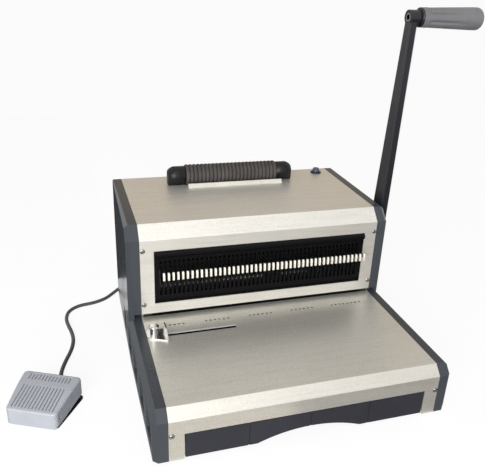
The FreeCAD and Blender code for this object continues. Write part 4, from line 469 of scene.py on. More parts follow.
FINISHES: dict[str, Finish] = {
    # One lacquer on both covers, in two copies: the upper cover's is lighter, painted light on
    # its front, and the table's is darker, painted shade on its upward faces.
    "lacquer": FleckLacquer("champagne_lacquer", "e6e3dc", "dad7cf", 0.38),
    "shaded_table_lacquer": TableLacquer("shaded_table_lacquer", "d6d3cb", "cbc7be", 0.38),
    "panel": Finish(
        "slate_moulding", "44484d", "383b40", 0.25, patch=9.0, grit=1300.0,
        relief=0.00004, specular=0.25, unevenness=0.05,
    ),
    "black_moulding": Finish(
        "black_moulding", "151516", "0e0e0f", 0.38, patch=30.0, grit=1800.0,
        relief=0.00004, specular=0.25,
    ),
    "guard": Finish(
        "guard_moulding", "0c0c0d", "070708", 0.45, patch=30.0, grit=1800.0,
        specular=0.1,
    ),
    "drawer": Finish(
        "drawer_moulding", "34343b", "2b2b30", 0.58, patch=12.0, grit=1500.0,
        relief=0.00006, specular=0.1,
    ),
    "arm": Finish(
        "arm_lacquer", "222328", "17181b", 0.38, patch=25.0, grit=800.0, relief=0.00014,
        specular=0.35,
    ),
    "grip": ShadeEndedMoulding(
        "grip_moulding", "727275", "626265", 0.36, patch=30.0, grit=1600.0, relief=0.00004
    ),
    "sleeve": RibbedRubber(
        "ribbed_rubber", "514d4b", "3b3836", 0.75, patch=60.0, grit=1100.0,
        relief=0.00012, specular=0.25,
    ),
    "rubber": Finish(
        "black_rubber", "1b1a1a", "121111", 0.7, patch=40.0, grit=1200.0,
        relief=0.00008, specular=0.3,
    ),
    "strip": Finish(
        "cream_strip", "d6d2c8", "c3bfb3", 0.55, patch=70.0, grit=900.0, relief=0.00006
    ),
    "button": Finish(
        "button_moulding", "474b63", "3a3d52", 0.28, patch=80.0, grit=2000.0, relief=0.00002
    ),
    "pedal": TreadleMoulding(
        "grey_moulding", "afb2b9", "a1a4ac", 0.34, patch=25.0, grit=1500.0, relief=0.00004
    ),
    "board": Finish(
        "laminate_board", "8a6a3c", "6f5330", 0.5, patch=60.0, grit=700.0
    ),
    "frame_steel": BrushedMetal(
        "plated_sheet", "a9aaa8", "8f908f", 0.38, patch=30.0, grit=1200.0, grain=Grain.ALONG_Y
    ),
    "dark_steel": BrushedMetal(
        "blackened_steel", "2a2a2b", "1b1b1c", 0.45, patch=30.0, grit=1200.0,
        metallic=0.6, grain=Grain.ALONG_X,
    ),
    "tool_steel": BrushedMetal(
        "tool_steel", "8c8c8e", "707073", 0.32, patch=50.0, grit=1500.0, grain=Grain.ALONG_Z
    ),
    "tabs": TabPlating(
        "tab_plating", "f3efe4", "e6e0d2", 0.35, patch=60.0, grit=1800.0,
        relief=0.00001, metallic=0.25,
    ),
    "bronze": BrushedMetal(
        "sintered_bronze", "a5783f", "7f5a2c", 0.45, patch=90.0, grit=2600.0,
        relief=0.00003, anisotropy=0.0,
    ),
    "chrome": BrushedMetal(
        "chrome", "d8d8d6", "c2c2c0", 0.16, patch=30.0, grit=1500.0,
        relief=0.000004, unevenness=0.05, anisotropy=0.0,
    ),
    "zinc": BrushedMetal(
        "zinc_plating", "a2a3a2", "6f706f", 0.3, patch=250.0, grit=2500.0, anisotropy=0.0
    ),
    "socket_screw": SocketScrewFinish(
        "black_oxide", "d2d2d0", "bcbcba", 0.25, patch=60.0, grit=1800.0,
        metallic=0.7, anisotropy=0.0,
    ),
    "jacket": Finish(
        "cord_jacket", "4c4d52", "3b3c40", 0.45, patch=50.0, grit=900.0, relief=0.00005
    ),
}


# ---------- mesh making


def once_round(columns: int) -> np.ndarray:
    """Angles that go once round in even steps and stop one step before the first."""
    return np.linspace(0.0, 2 * np.pi, columns, endpoint=False)


def surface(name: str, grid: np.ndarray, around: bool = False) -> bpy.types.Object:
    """Put a grid of points into a mesh of quads.

    Quad (i, j) joins points (i, j), (i + 1, j), (i + 1, j + 1) and (i, j + 1).

    Args:
        name: the object's name.
        grid: points in an array of rows, columns and x, y, z.
        around: True where the last column joins the first.

    Returns:
        The object, with smooth faces.
    """
    rows, columns = grid.shape[:2]
    index = np.arange(rows * columns).reshape(rows, columns)
    if around:
        index = np.concatenate([index, index[:, :1]], axis=1)
    quads = np.stack([index[:-1, :-1], index[1:, :-1], index[1:, 1:], index[:-1, 1:]], axis=-1)
    mesh = bpy.data.meshes.new(name)
    mesh.from_pydata(grid.reshape(-1, 3).tolist(), [], quads.reshape(-1, 4).tolist())
    mesh.polygons.foreach_set("use_smooth", np.ones(len(mesh.polygons), bool))
    mesh.update()
    return placed(name, mesh)


def sheet(name: str, corner: Point, wide: Point, high: Point) -> bpy.types.Object:
    """Make one flat quad from a corner and the two sides that start there, as vectors."""
    share = np.array([0.0, 1.0])
    u, v = np.meshgrid(share, share, indexing="ij")
    grid = np.array(corner) + u[..., None] * np.array(wide) + v[..., None] * np.array(high)
    return surface(name, grid)


def sealed(piece: bpy.types.Object) -> bpy.types.Object:
    """Merge the points that meet at poles and seams, and turn every face outwards.

    Args:
        piece: a closed mesh.

    Returns:
        The same object.
    """
    work = bmesh.new()
    work.from_mesh(piece.data)
    bmesh.ops.remove_doubles(work, verts=work.verts, dist=1e-7)
    bmesh.ops.recalc_face_normals(work, faces=work.faces)
    work.to_mesh(piece.data)
    work.free()
    return piece


def ringed(name: str, x: np.ndarray, y: np.ndarray, z: np.ndarray) -> bpy.types.Object:
    """Make a closed piece of rows of points that each go once round it.

    Args:
        name: the object's name.
        x: the points' x, in rows and columns or in what broadcasts to them.
        y: their y.
        z: their z.

    Returns:
        The piece, sealed.
    """
    grid = np.stack(np.broadcast_arrays(x, y, z), axis=-1)
    return sealed(surface(name, grid, around=True))


def joined(name: str, parts: list[bpy.types.Object]) -> bpy.types.Object:
    """Join meshes whose points are already in place into one object.

    Args:
        name: the name of the result.
        parts: the objects to join; they are used up.

    Returns:
        The joined object.
    """
    with bpy.context.temp_override(
        active_object=parts[0], object=parts[0], selected_objects=parts,
        selected_editable_objects=parts,
    ):
        bpy.ops.object.join()
    parts[0].name = name
    parts[0].data.name = name
    return parts[0]


def paint(piece: bpy.types.Object, finish: bpy.types.Material) -> None:
    """Give every material slot of a piece one finish."""
    if not piece.material_slots:
        piece.data.materials.append(finish)
    for slot in piece.material_slots:
        slot.material = finish


# ---------- sub-assemblies


class Assembly:
    """Solids of one sub-assembly, listed under the finish that they have."""

    coats: dict[str, tuple[str, ...]] = {}

    def dress(self, frame: dict, finishes: Finishes) -> None:
        """Give each solid of this sub-assembly its finish.

        Args:
            frame: what the frame holds.
            finishes: the finishes to take from.
        """
        for finish, nodes in self.coats.items():
            for node in nodes:
                paint(frame["nodes"][node], finishes[finish])
                LOG.info("%s: %s", node, finish)

    def build(self, finishes: Finishes) -> list[bpy.types.Object]:
        """Make the pieces that are finer than their solids; none here."""
        return []


@dataclass
class PanScrew:
    """A pan-head screw with a cross recess and a rolled thread."""

    head_radius: float = 3.3 * MM
    head_height: float = 2.0 * MM
    brim_height: float = 0.75 * MM
    recess_depth: float = 1.25 * MM
    recess_half: float = 0.42 * MM
    recess_reach: float = 1.9 * MM
    recess_soft: float = 0.2 * MM
    dome_power: float = 2.6
    shank_radius: float = 1.7 * MM
    thread_depth: float = 0.3 * MM
    thread_pitch: float = 0.8 * MM
    shank_length: float = 4.2 * MM
    columns: int = 48
    head_rows: int = 22
    shank_rows: int = 36

    def head(self, angle: np.ndarray) -> tuple[np.ndarray, np.ndarray]:
        """Radius and height of the head's top and brim.

        At radius r the top is brim + (height - brim) sqrt(1 - (r / R) ** power), less the
        recess: its depth times the larger of two bars, each 1 inside its half width and its
        reach and falling evenly to 0 over recess_soft.

        Args:
            angle: one angle for each column.

        Returns:
            Two arrays of rows and columns.
        """
        share = np.linspace(0.0, 1.0, self.head_rows)[:, None] * np.ones_like(angle)
        radius = share * self.head_radius
        dome = np.sqrt(np.clip(1 - share**self.dome_power, 0.0, 1.0))
        top = self.brim_height + (self.head_height - self.brim_height) * dome
        x, y = np.abs(radius * np.cos(angle)), np.abs(radius * np.sin(angle))
        bars = [
            np.clip((self.recess_half - across) / self.recess_soft + 0.5, 0, 1)
            * np.clip((self.recess_reach - along) / self.recess_soft + 0.5, 0, 1)
            for across, along in ((x, y), (y, x))
        ]
        cross = np.maximum(*bars)
        return radius, top - self.recess_depth * cross

    def shank(self, angle: np.ndarray) -> tuple[np.ndarray, np.ndarray]:
        """Radius and height of the brim's underside and the threaded shank.

        The thread's radius falls by depth |2 frac(s / pitch - angle / 2 pi) - 1|, s being the
        distance from the head, and runs out over the first and last half pitch.

        Args:
            angle: one angle for each column.

        Returns:
            Two arrays of rows and columns.
        """
        along = np.linspace(0.0, self.shank_length, self.shank_rows)[:, None]
        phase = along / self.thread_pitch - angle / (2 * np.pi)
        groove = np.abs(2 * (phase - np.floor(phase)) - 1)
        ends = np.minimum(along, self.shank_length - along) / (self.thread_pitch / 2)
        radius = self.shank_radius - self.thread_depth * groove * np.clip(ends, 0.0, 1.0)
        flat = np.ones_like(angle)[None, :]
        rim = np.array([self.head_radius, self.shank_radius])[:, None] * flat
        height = np.concatenate([np.zeros((2, angle.size)), -along * flat, -along[-1:] * flat])
        return np.concatenate([rim, radius, 0 * flat]), height

    def made(self, name: str, at: Point, outward: float, turn: float) -> bpy.types.Object:
        """Make one screw.

        Args:
            name: the object's name.
            at: where the head lies on the sheet, in metres.
            outward: -1 where the head faces the front, 1 where it faces the back.
            turn: how far the screw is turned, in degrees.

        Returns:
            The screw.
        """
        angle = once_round(self.columns)
        parts = (self.head(angle), self.shank(angle))
        radius = np.concatenate([part[0] for part in parts])
        height = np.concatenate([part[1] for part in parts])
        turned = angle + math.radians(turn)
        x, z = at[0] + radius * np.cos(turned), at[2] + radius * np.sin(turned)
        return ringed(name, x, at[1] + outward * height, z)


@dataclass
class Housing(Assembly):
    """Side panels, sheet covers and the frame inside, with the cover screws."""

    screw = PanScrew()
    first_turn: float = 20.0
    turn_step: float = 37.0
    front_x: float = 170.4 * MM
    front_places: tuple[Span, ...] = (
        (0.0, 93.0 * MM), (0.0, 174.4 * MM), (-205.7 * MM, 40.0 * MM),
    )
    rear_x: float = 167.0 * MM
    rear_places: tuple[Span, ...] = (
        (205.2 * MM, 24.0 * MM), (205.2 * MM, 186.6 * MM),
    )
    coats = {
        "panel": ("side_panel_left", "side_panel_right"),
        "frame_steel": ("side_frame_left", "side_frame_right", "base_plate"),
        "lacquer": ("upper_cover", "rear_cover"), "shaded_table_lacquer": ("table_cover",),
        "dark_steel": ("table_brace",), "rubber": ("feet",),
    }

    def build(self, finishes: Finishes) -> list[bpy.types.Object]:
        """Make the ten screws of the covers, each turned by turn_step more than the last.

        Args:
            finishes: the finishes to take from.

        Returns:
            The screws as one piece.
        """
        sides = ((self.front_x, self.front_places, -1.0), (self.rear_x, self.rear_places, 1.0))
        spots = [
            ((x, y, z), outward)
            for edge, places, outward in sides for x in (-edge, edge) for y, z in places
        ]
        screws = [
            self.screw.made("cover_screw", at, outward, self.first_turn + self.turn_step * number)
            for number, (at, outward) in enumerate(spots)
        ]
        piece = joined("pan_head_screws", screws)
        paint(piece, finishes["zinc"])
        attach(piece, Body.HOUSING.value)
        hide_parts("cover_screws")
        return [piece]


@dataclass
class PunchingSet(Assembly):
    """Die, guide plate, ram and pull pins, with the coil springs that lift the ram."""

    spring_x: float = 153.5 * MM
    spring_y: float = 14.0 * MM
    spring_foot: float = 89.0 * MM
    spring_free: float = 32.9 * MM
    spring_radius: float = 3.8 * MM
    spring_turns: float = 5.0
    wire_radius: float = 0.7 * MM
    flat_turn: float = 0.9
    flat_pitch: float = 2.04
    wire_points: int = 151
    ring_points: int = 10
    ram_stroke: float = 14.1 * MM
    coats = {
        "dark_steel": (
            "die_bed", "die_plate", "guide_plate", "die_spacers", "paper_stop", "pressure_bar",
        ),
        "guard": ("pin_guard",), "tool_steel": ("punches", "racks"),
        "tabs": ("pull_pins", "pull_pin_first", "pull_pin_last"), "frame_steel": ("ram_guides",),
    }

    def spring(self, name: str, centre_x: float) -> bpy.types.Object:
        """Make one compression spring with a flat turn at each end.

        Its wire's centre goes round the axis at spring_radius.  It rises by flat_pitch radii
        of the wire in the first and in the last flat_turn, and evenly in between.  Round each
        centre point stands a circle of wire_radius, square to the wire, and a last ring of no
        radius closes each end.

        Args:
            name: the object's name.
            centre_x: where its axis stands.

        Returns:
            The spring.
        """
        step = self.flat_pitch * self.wire_radius
        rise = self.spring_free - 2 * self.wire_radius
        turned = np.linspace(0.0, self.spring_turns, self.wire_points)
        bends = [0.0, self.flat_turn, self.spring_turns - self.flat_turn, self.spring_turns]
        height = np.interp(turned, bends, [0.0, step, rise - step, rise])
        angle = 2 * np.pi * turned
        out = np.stack([np.cos(angle), np.sin(angle), np.zeros_like(angle)], axis=-1)
        centre = self.spring_radius * out + height[:, None] * np.array([0.0, 0.0, 1.0])
        along = np.gradient(centre, axis=0)
        along /= np.linalg.norm(along, axis=1, keepdims=True)
        up = np.cross(out, along)
        ring = once_round(self.ring_points)[None, :, None]
        section = np.cos(ring) * out[:, None, :] + np.sin(ring) * up[:, None, :]
        thick = np.full((len(angle) + 2, 1, 1), self.wire_radius)
        thick[[0, -1]] = 0.0
        ends = np.clip(np.arange(-1, len(angle) + 1), 0, len(angle) - 1)
        place = np.array([centre_x, self.spring_y, self.spring_foot + self.wire_radius])
        grid = place + centre[ends][:, None, :] + thick * section[ends]
        return sealed(surface(name, grid, around=True))

    def build(self, finishes: Finishes) -> list[bpy.types.Object]:
        """Make the two springs on the housing.

        Args:
            finishes: the finishes to take from.

        Returns:
            The springs as one piece.
        """
        springs = [self.spring("lift_spring", x) for x in (-self.spring_x, self.spring_x)]
        piece = joined("lift_springs", springs)
        paint(piece, finishes["tool_steel"])
        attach(piece, Body.HOUSING.value)
        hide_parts("return_springs")
        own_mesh(piece)
        return [piece]


@dataclass
class Lever(Assembly):
    """Arm, hand grip and the shaft they turn."""

    grip_from: float = 210.9 * MM
    grip_length: float = 98.0 * MM
    axis_y: float = 30.0 * MM
    axis_z: float = 471.0 * MM
    small: float = 12.7 * MM
    large: float = 15.0 * MM
    bore: float = 4.2 * MM
    rim: float = 0.8 * MM
    dome: float = 9.0 * MM
    dome_power: float = 2.4
    flutes: int = 6
    flute_depth: float = 2.2 * MM
    flute_half_angle: float = 8.5
    flute_turn: float = 37.0
    flute_from: float = 11.0 * MM
    flute_rise: float = 3.0 * MM
    flute_fade: Span = (34.0 * MM, 80.0 * MM)
    columns: int = 120
    rows: int = 110
    coats = {
        "arm": ("lever_arm",), "socket_screw": ("grip_bolt",),
        "tool_steel": ("drive_shaft", "pinions"), "bronze": ("shaft_bushes",),
    }

    def build(self, finishes: Finishes) -> list[bpy.types.Object]:
        """Make the hand grip: a cone with a domed end, flutes and a bore for its bolt.

        At s along the grip the radius runs from small to large as sin(pi s / 2 L), and over
        the dome it falls as (1 - t ** power) ** (1 / power).  Each flute takes off
        depth exp(-(a / width) ** 2), a being the angle from its middle; the depth rises over
        flute_rise where the flute starts and fades out smoothly further on.

        Args:
            finishes: the finishes to take from.

        Returns:
            The grip.
        """
        s = np.linspace(0.0, self.grip_length, self.rows)
        angle = once_round(self.columns)
        cone = self.small + (self.large - self.small) * np.sin(np.pi * s / (2 * self.grip_length))
        t = np.clip((s - self.grip_length + self.dome) / self.dome, 0.0, 1.0)
        body = cone * (1 - t**self.dome_power) ** (1 / self.dome_power)
        rise = np.clip((s - self.flute_from) / self.flute_rise, 0.0, 1.0)
        first, last = self.flute_fade
        fade = 1 - np.clip((s - first) / (last - first), 0.0, 1.0)
        depth = self.flute_depth * rise**2 * (3 - 2 * rise) * fade**2 * (3 - 2 * fade)
        step = 2 * np.pi / self.flutes
        from_first = angle - math.radians(self.flute_turn)
        nearest = from_first - step * np.round(from_first / step)
        groove = np.exp(-((nearest / math.radians(self.flute_half_angle)) ** 2))
        outer = np.maximum(body[:, None] - depth[:, None] * groove, 0.0)
        flat = np.ones_like(angle)
        start = np.array([self.bore, self.small - self.rim])[:, None] * flat
        bore_end = self.grip_length - self.dome
        radius = np.concatenate([[0 * flat], [self.bore * flat], start, outer[1:]])
        along = np.concatenate([[bore_end, bore_end, 0.0, 0.0], s[1:]])[:, None] * flat
        y, z = self.axis_y - radius * np.cos(angle), self.axis_z + radius * np.sin(angle)
        grip = ringed("fluted_grip", self.grip_from + along, y, z)
        paint(grip, finishes["grip"])
        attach(grip, Body.HANDGRIP.value)
        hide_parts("grip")
        return [grip]


@dataclass
class PaperTable(Assembly):
    """Side guide on its slot, and the chip drawer."""

    coats = {
        "chrome": ("guide_bracket", "guide_knob"), "frame_steel": ("guide_nut", "drawer_runners"),
        "drawer": ("drawer_front", "drawer_tray"),
    }


@dataclass
class CoilInserter(Assembly):
    """Ribbed roller, its caps, the rest in front of it, the motor and the button."""

    axis_y: float = 168.0 * MM
    axis_z: float = 220.6 * MM
    sleeve_from: float = -79.7 * MM
    sleeve_to: float = 68.3 * MM
    sleeve_radius: float = 16.0 * MM
    bore_radius: float = 12.0 * MM
    rib_depth: float = 1.5 * MM
    groove_width: float = 0.17
    ribs: int = 24
    rows_per_rib: int = 12
    columns: int = 72
    cap_length: float = 26.7 * MM
    cap_radius: float = 14.0 * MM
    nose_length: float = 8.6 * MM
    face_radius: float = 8.0 * MM
    foot_half: float = 6.5 * MM
    foot_power: float = 1.4
    cap_edge: float = 0.4 * MM
    cap_gap: float = 0.3 * MM
    nose_points: int = 15
    arc_points: int = 33
    side_points: int = 11
    coats = {
        "strip": ("coil_rest",),
        "black_moulding": (
            "button_bezel", "roller_pulley", "motor_pulley", "mains_inlet", "cord_gland",
        ),
        "button": ("power_button",), "tool_steel": ("roller_core",), "rubber": ("drive_belt",),
        "frame_steel": ("drive_motor", "motor_bracket"), "board": ("power_board",),
    }

    def sleeve(self) -> bpy.types.Object:
        """Make the rubber sleeve: a tube turned about the roller's axis.

        At share u of its length the outer radius is radius - depth exp(-(d / width) ** 2), d
        being the distance, in ribs, to the nearest groove's middle.  The bore closes the tube.

        Returns:
            The sleeve.
        """
        u = np.linspace(0.0, 1.0, self.ribs * self.rows_per_rib + 1)
        ribs = u * self.ribs
        to_groove = np.abs(ribs - np.round(ribs))
        grooves = np.exp(-((to_groove / self.groove_width) ** 2))
        outer = self.sleeve_radius - self.rib_depth * grooves
        x = self.sleeve_from + u * (self.sleeve_to - self.sleeve_from)
        radius = np.concatenate([outer, [self.bore_radius] * 2, outer[:1]])[:, None]
        along = np.concatenate([x, [self.sleeve_to, self.sleeve_from], x[:1]])[:, None]
        angle = once_round(self.columns)
        y, z = self.axis_y + radius * np.cos(angle), self.axis_z + radius * np.sin(angle)
        return ringed("ribbed_sleeve", along, y, z)

    def cap(self, name: str, start: float, outward: float) -> bpy.types.Object:
        """Make one end cap: a barrel with a coned nose that stands on a narrow foot.

        Across the roller the upper half is an arc of radius r.  The lower half goes straight
        down to the top plate while its half width runs from r to the foot's by t ** power, t
        being the share of the way down.  Along the roller r is the barrel's up to the nose and
        then falls along a straight cone whose ends are rounded.

        Args:
            name: the object's name.
            start: x of the end at the sleeve.
            outward: -1 for the left cap, 1 for the right one.

        Returns:
            The cap.
        """
        barrel = self.cap_length - self.nose_length
        t = np.linspace(0.0, 1.0, self.nose_points)
        cone = 1 - t
        rounded = 0.5 * (cone + np.sqrt(np.clip(1 - t**2, 0.0, 1.0)))
        nose = self.face_radius + (self.cap_radius - self.face_radius) * rounded
        along = np.concatenate(
            [[0.0, 0.0, self.cap_edge], barrel + t * self.nose_length, [self.cap_length]]
        )
        edge = [0.0, self.cap_radius - self.cap_edge, self.cap_radius]
        sides = np.concatenate([edge, nose, [0.0]])
        upper = np.linspace(-np.pi / 2, np.pi / 2, self.arc_points)
        down = np.linspace(0.0, 1.0, self.side_points + 1)[1:]
        radius = sides[:, None]
        foot = np.minimum(self.foot_half, radius)
        half = radius + (foot - radius) * down**self.foot_power
        low = -self.cap_radius * down * np.where(radius > 0, 1.0, 0.0)
        across = np.concatenate([radius * np.sin(upper), half, -half[:, ::-1]], axis=1)
        height = np.concatenate([radius * np.cos(upper), low, low[:, ::-1]], axis=1)
        x = (start + outward * along)[:, None]
        return ringed(name, x, self.axis_y + across, self.axis_z + height)

    def build(self, finishes: Finishes) -> list[bpy.types.Object]:
        """Make the sleeve and the two caps.

        Args:
            finishes: the finishes to take from.

        Returns:
            The sleeve and the caps.
        """
        sleeve = self.sleeve()
        paint(sleeve, finishes["sleeve"])
        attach(sleeve, Body.ROLLER.value)
        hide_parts("roller_sleeve")
        made = [sleeve]
        ends = (("left", self.sleeve_from, -1.0), ("right", self.sleeve_to, 1.0))
        for side, end, outward in ends:
            cap = self.cap(f"roller_end_{side}", end + outward * self.cap_gap, outward)
            paint(cap, finishes["black_moulding"])
            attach(cap, Body.HOUSING.value)
            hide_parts(f"roller_cap_{side}")
            made.append(cap)
        return made


@dataclass
class FootSwitch(Assembly):
    """Treadle, its base and the cord that runs to the back of the machine.

    The coil's measures and the points of the routes are in millimetres.
    """

    diameter: float = 5.5 * MM
    steps_per_span: int = 6
    steps_round: int = 5
    points_per_turn: int = 16
    coil_centre: Point = (-111.5, 283.0, 0.0)
    coil_outer: float = 38.5
    coil_inner: float = 27.5
    climb_turns: float = 0.75
    climb_dip: float = 1.6
    gland_route: tuple[Point, ...] = (
        (-150.0, 229.0, 20.0), (-150.0, 246.0, 20.0), (-150.0, 266.0, 8.25),
    )
    pedal_route: tuple[Point, ...] = (
        (-136.5, 243.0, 2.75), (-161.0, 237.0, 2.75), (-183.0, 223.0, 2.75),
        (-197.0, 205.0, 2.75), (-212.0, 188.0, 2.75), (-232.0, 179.0, 2.75),
        (-254.0, 176.0, 2.75), (-270.5, 163.0, 2.75), (-276.0, 142.0, 2.75),
        (-274.2, 122.0, 2.75), (-269.0, 98.5, 2.75), (-266.9, 73.5, 2.75),
        (-271.5, 48.0, 2.75), (-279.9, 24.5, 2.75), (-286.5, 0.5, 3.0),
        (-287.85, -19.19, 5.0), (-294.84, -33.58, 5.0),
    )
    coats = {
        "pedal": ("pedal_treadle",), "rubber": ("pedal_base",), "chrome": ("pedal_pin",),
        "tool_steel": ("pedal_spring",), "black_moulding": ("pedal_switch",),
    }

    def coil_route(self) -> np.ndarray:
        """Points of the put-away coil, from its top layer's outside to its lower layer's.

        After u turns the radius is outer - d u down to the inner radius, d being the cord's
        diameter, then inner + d u on the layer above; between them the cord climbs one
        diameter while the radius dips by dip sin(pi t).  A control point lies
        8 / (6 + 2 cos(2 pi / n)) further out than the line it draws.

        Returns:
            Control points in millimetres, one row each.
        """
        gauge = self.diameter / MM
        layer = (self.coil_outer - self.coil_inner) / gauge
        total = 2 * layer + self.climb_turns
        count = round(total * self.points_per_turn)
        turns = np.linspace(0.0, total, count + 1)
        climb = np.clip((turns - layer) / self.climb_turns, 0.0, 1.0)
        down = self.coil_outer - gauge * np.minimum(turns, layer)
        up = gauge * np.maximum(turns - layer - self.climb_turns, 0.0)
        radius = down + up - self.climb_dip * np.sin(np.pi * climb)
        radius *= 8 / (6 + 2 * math.cos(2 * math.pi / self.points_per_turn))
        angle = 2 * np.pi * turns - np.pi / 2
        height = gauge / 2 + gauge * climb
        points = np.stack([radius * np.cos(angle), radius * np.sin(angle), height], axis=1)
        return (points + np.array(self.coil_centre))[::-1]

    def build(self, finishes: Finishes) -> list[bpy.types.Object]:
        """Make the cord as one smooth line from the gland to the treadle's boss.

        Args:
            finishes: the finishes to take from.

        Returns:
            The cord.
        """
        route = np.concatenate([self.gland_route, self.coil_route(), self.pedal_route]) * MM
        curve = bpy.data.curves.new("foot_cord", "CURVE")
        curve.dimensions = "3D"
        spline = curve.splines.new("NURBS")
        spline.points.add(len(route) - 1)
        homogeneous = np.concatenate([route, np.ones((len(route), 1))], axis=1)
        spline.points.foreach_set("co", homogeneous.ravel())
        spline.order_u = 3
        spline.use_endpoint_u = True
        spline.resolution_u = self.steps_per_span
        curve.bevel_depth = self.diameter / 2
        curve.bevel_resolution = self.steps_round
        curve.use_fill_caps = True
        cord = placed("foot_cord", curve)
        paint(cord, finishes["jacket"])
        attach(cord, Body.HOUSING.value)
        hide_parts("foot_cord_front", "foot_cord_coil", "foot_cord_rear")
        return [cord]


# ---------- studio


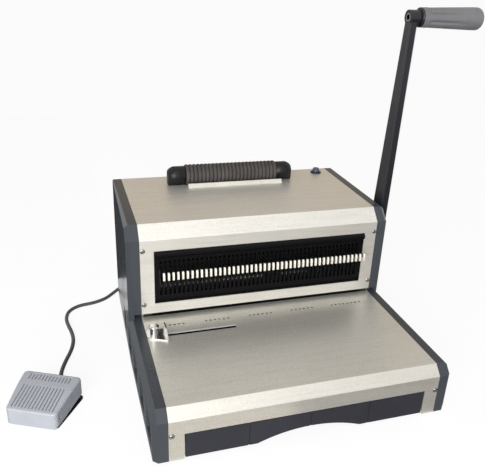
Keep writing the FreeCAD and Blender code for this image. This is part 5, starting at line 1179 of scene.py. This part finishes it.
@dataclass
class Studio:
    """Pale floor, soft lamps and the camera."""

    camera_at: Point = (-0.26234, -0.73993, 0.52816)
    azimuth: float = -18.8801
    elevation: float = 24.7535
    roll: float = 3.0006
    focal_pixels: float = 614.74
    image_width: float = 485.0
    image_height: float = 472.0
    centre_x: float = 258.337
    centre_y: float = 245.856
    sensor: float = 36.0
    ambient: float = 0.4
    background: Colour = (1.0, 1.0, 1.0, 1.0)
    floor_half: float = 12.0
    floor_level: float = -0.0002
    floor_white: float = 0.75
    floor_strength: float = 1.19
    floor_colour: Colour = (0.5, 0.5, 0.5, 1.0)
    floor_roughness: float = 0.9
    aim: Point = (0.0, 0.0, 0.12)
    lamps = {
        "key_lamp": ((-0.3, -1.5, 1.9), 1.4, 8.0),
        "front_lamp": ((-1.1, -2.0, 0.75), 1.4, 61.0),
    }
    card_level: float = -0.0001
    # Glowing cards that paint reflections: dark ones for the room behind and the machine's shadow
    # in front and at the right, pale ones for lit surroundings at the left and back.
    reflected = {
        "floor_card": ((-0.9, 0.262, card_level), (0.72, 0, 0), (0, 1.3, 0), "303030"),
        "side_card": ((0.2, -0.212, card_level), (1.2, 0, 0), (0, 0.9, 0), "857c70"),
        "front_card": ((0.0, -1.2, card_level), (1.4, 0, 0), (0, 0.988, 0), "49433b"),
        "near_card": ((-0.9, -0.211, card_level), (0.707, 0, 0), (0, 0.36, 0), "77797b"),
        "left_card": ((-1.2, -1.2, card_level), (1.2, 0, 0), (0, 0.988, 0), "c8c0b4"),
        "back_card": ((-0.6, 1.6, 0.15), (2.4, 0, 0), (0, 0, 1.65), "c9baa5"),
    }

    def camera(self) -> None:
        """Place the camera.

        It looks along -(sin a cos e, -cos a cos e, sin e), is turned by the roll about that
        line, and its frame is shifted so that the line meets the centre given in pixels.
        """
        a, e, r = (math.radians(x) for x in (self.azimuth, self.elevation, self.roll))
        back = Vector((math.sin(a) * math.cos(e), -math.cos(a) * math.cos(e), math.sin(e)))
        right = Vector((math.cos(a), math.sin(a), 0.0))
        up = back.cross(right)
        turned_right = right * math.cos(r) + up * math.sin(r)
        turned_up = up * math.cos(r) - right * math.sin(r)
        data = bpy.data.cameras.new("camera")
        data.sensor_width = self.sensor
        data.lens = self.focal_pixels / self.image_width * self.sensor
        data.shift_x = (self.image_width / 2 - self.centre_x) / self.image_width
        data.shift_y = (self.centre_y - self.image_height / 2) / self.image_width
        camera = placed("camera", data)
        axes = Matrix((turned_right, turned_up, back)).transposed()
        camera.matrix_world = Matrix.Translation(self.camera_at) @ axes.to_4x4()
        bpy.context.scene.camera = camera

    def seen_white(
        self, tree: bpy.types.NodeTree, lit: Socket, share: float, strength: float
    ) -> Socket:
        """Show white to the eye and in reflections, and the lit shader to all other rays.

        Args:
            tree: the node tree.
            lit: the shader that diffuse light meets.
            share: how much of the white replaces the lit shader.
            strength: how bright the white is, 1 being plain white.

        Returns:
            The mixed shader.
        """
        nodes = NodeTree(tree)
        path = nodes.node("LightPath")
        seen = path.outputs["Is Camera Ray"]
        for name in ("Is Glossy Ray", "Is Transmission Ray"):
            seen = nodes.maths("MAXIMUM", seen, path.outputs[name])
        mix = nodes.node("MixShader")
        white = nodes.node("Emission", Strength=strength).outputs["Emission"]
        for socket, value in zip(mix.inputs, (nodes.maths("MULTIPLY", seen, share), lit, white)):
            nodes.feed(socket, value)
        return mix.outputs["Shader"]

    def world(self) -> None:
        """Light the scene evenly from all round, before a background that is seen as white."""
        world = bpy.data.worlds.new("studio")
        world.use_nodes = True
        bpy.context.scene.world = world
        tree = world.node_tree
        plain = tree.nodes["Background"]
        plain.inputs["Strength"].default_value = self.ambient
        plain.inputs["Color"].default_value = self.background
        white = self.seen_white(tree, plain.outputs["Background"], 1.0, 1.0)
        tree.links.new(white, tree.nodes["World Output"].inputs["Surface"])

    def floor(self) -> None:
        """Lay a large pale floor that keeps a faint shadow."""
        side = 2 * self.floor_half
        corner = (-self.floor_half, -self.floor_half, self.floor_level)
        floor = sheet("floor", corner, (side, 0.0, 0.0), (0.0, side, 0.0))
        material = noded("floor_paper")
        tree = material.node_tree
        shader = tree.nodes["Principled BSDF"]
        shader.inputs["Base Color"].default_value = self.floor_colour
        shader.inputs["Roughness"].default_value = self.floor_roughness
        lit = shader.outputs["BSDF"]
        white = self.seen_white(tree, lit, self.floor_white, self.floor_strength)
        tree.links.new(white, tree.nodes["Material Output"].inputs["Surface"])
        paint(floor, material)

    def cards(self) -> None:
        """Set glowing cards round the machine that only reflections show: painted reflections of
        shade and of lit surroundings.
        """
        for name, (corner, wide, high, colour) in self.reflected.items():
            material = noded(name)
            nodes = NodeTree(material.node_tree)
            glow = nodes.node("Emission", Color=linear(colour)).outputs["Emission"]
            nodes.feed(material.node_tree.nodes["Material Output"].inputs["Surface"], glow)
            card = sheet(name, corner, wide, high)
            paint(card, material)
            for kind in ("camera", "diffuse", "transmission", "volume_scatter", "shadow"):
                setattr(card, f"visible_{kind}", False)

    def light(self) -> None:
        """Hang square soft lamps that face the machine."""
        for name, (place, size, watts) in self.lamps.items():
            data = bpy.data.lights.new(name, "AREA")
            data.size = size
            data.energy = watts
            lamp = placed(name, data)
            lamp.location = place
            sight = Vector(self.aim) - Vector(place)
            lamp.rotation_euler = sight.to_track_quat("-Z", "Y").to_euler()

    def build(self) -> None:
        """Set the stage and the plain view transform."""
        bpy.context.scene.view_settings.view_transform = "Standard"
        self.world()
        self.floor()
        self.cards()
        self.light()
        self.camera()


def main() -> None:
    """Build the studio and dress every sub-assembly."""
    logging.basicConfig(level=logging.INFO, format="%(name)s: %(message)s")
    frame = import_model()
    Studio().build()
    finishes = {key: finish.material() for key, finish in FINISHES.items()}
    assemblies = (
        FootSwitch(), Housing(), PunchingSet(), Lever(), PaperTable(), CoilInserter(),
    )
    for assembly in assemblies:
        assembly.dress(frame, finishes)
        for piece in assembly.build(finishes):
            LOG.info("made %s", piece.name)


if __name__ == "__main__":
    main()
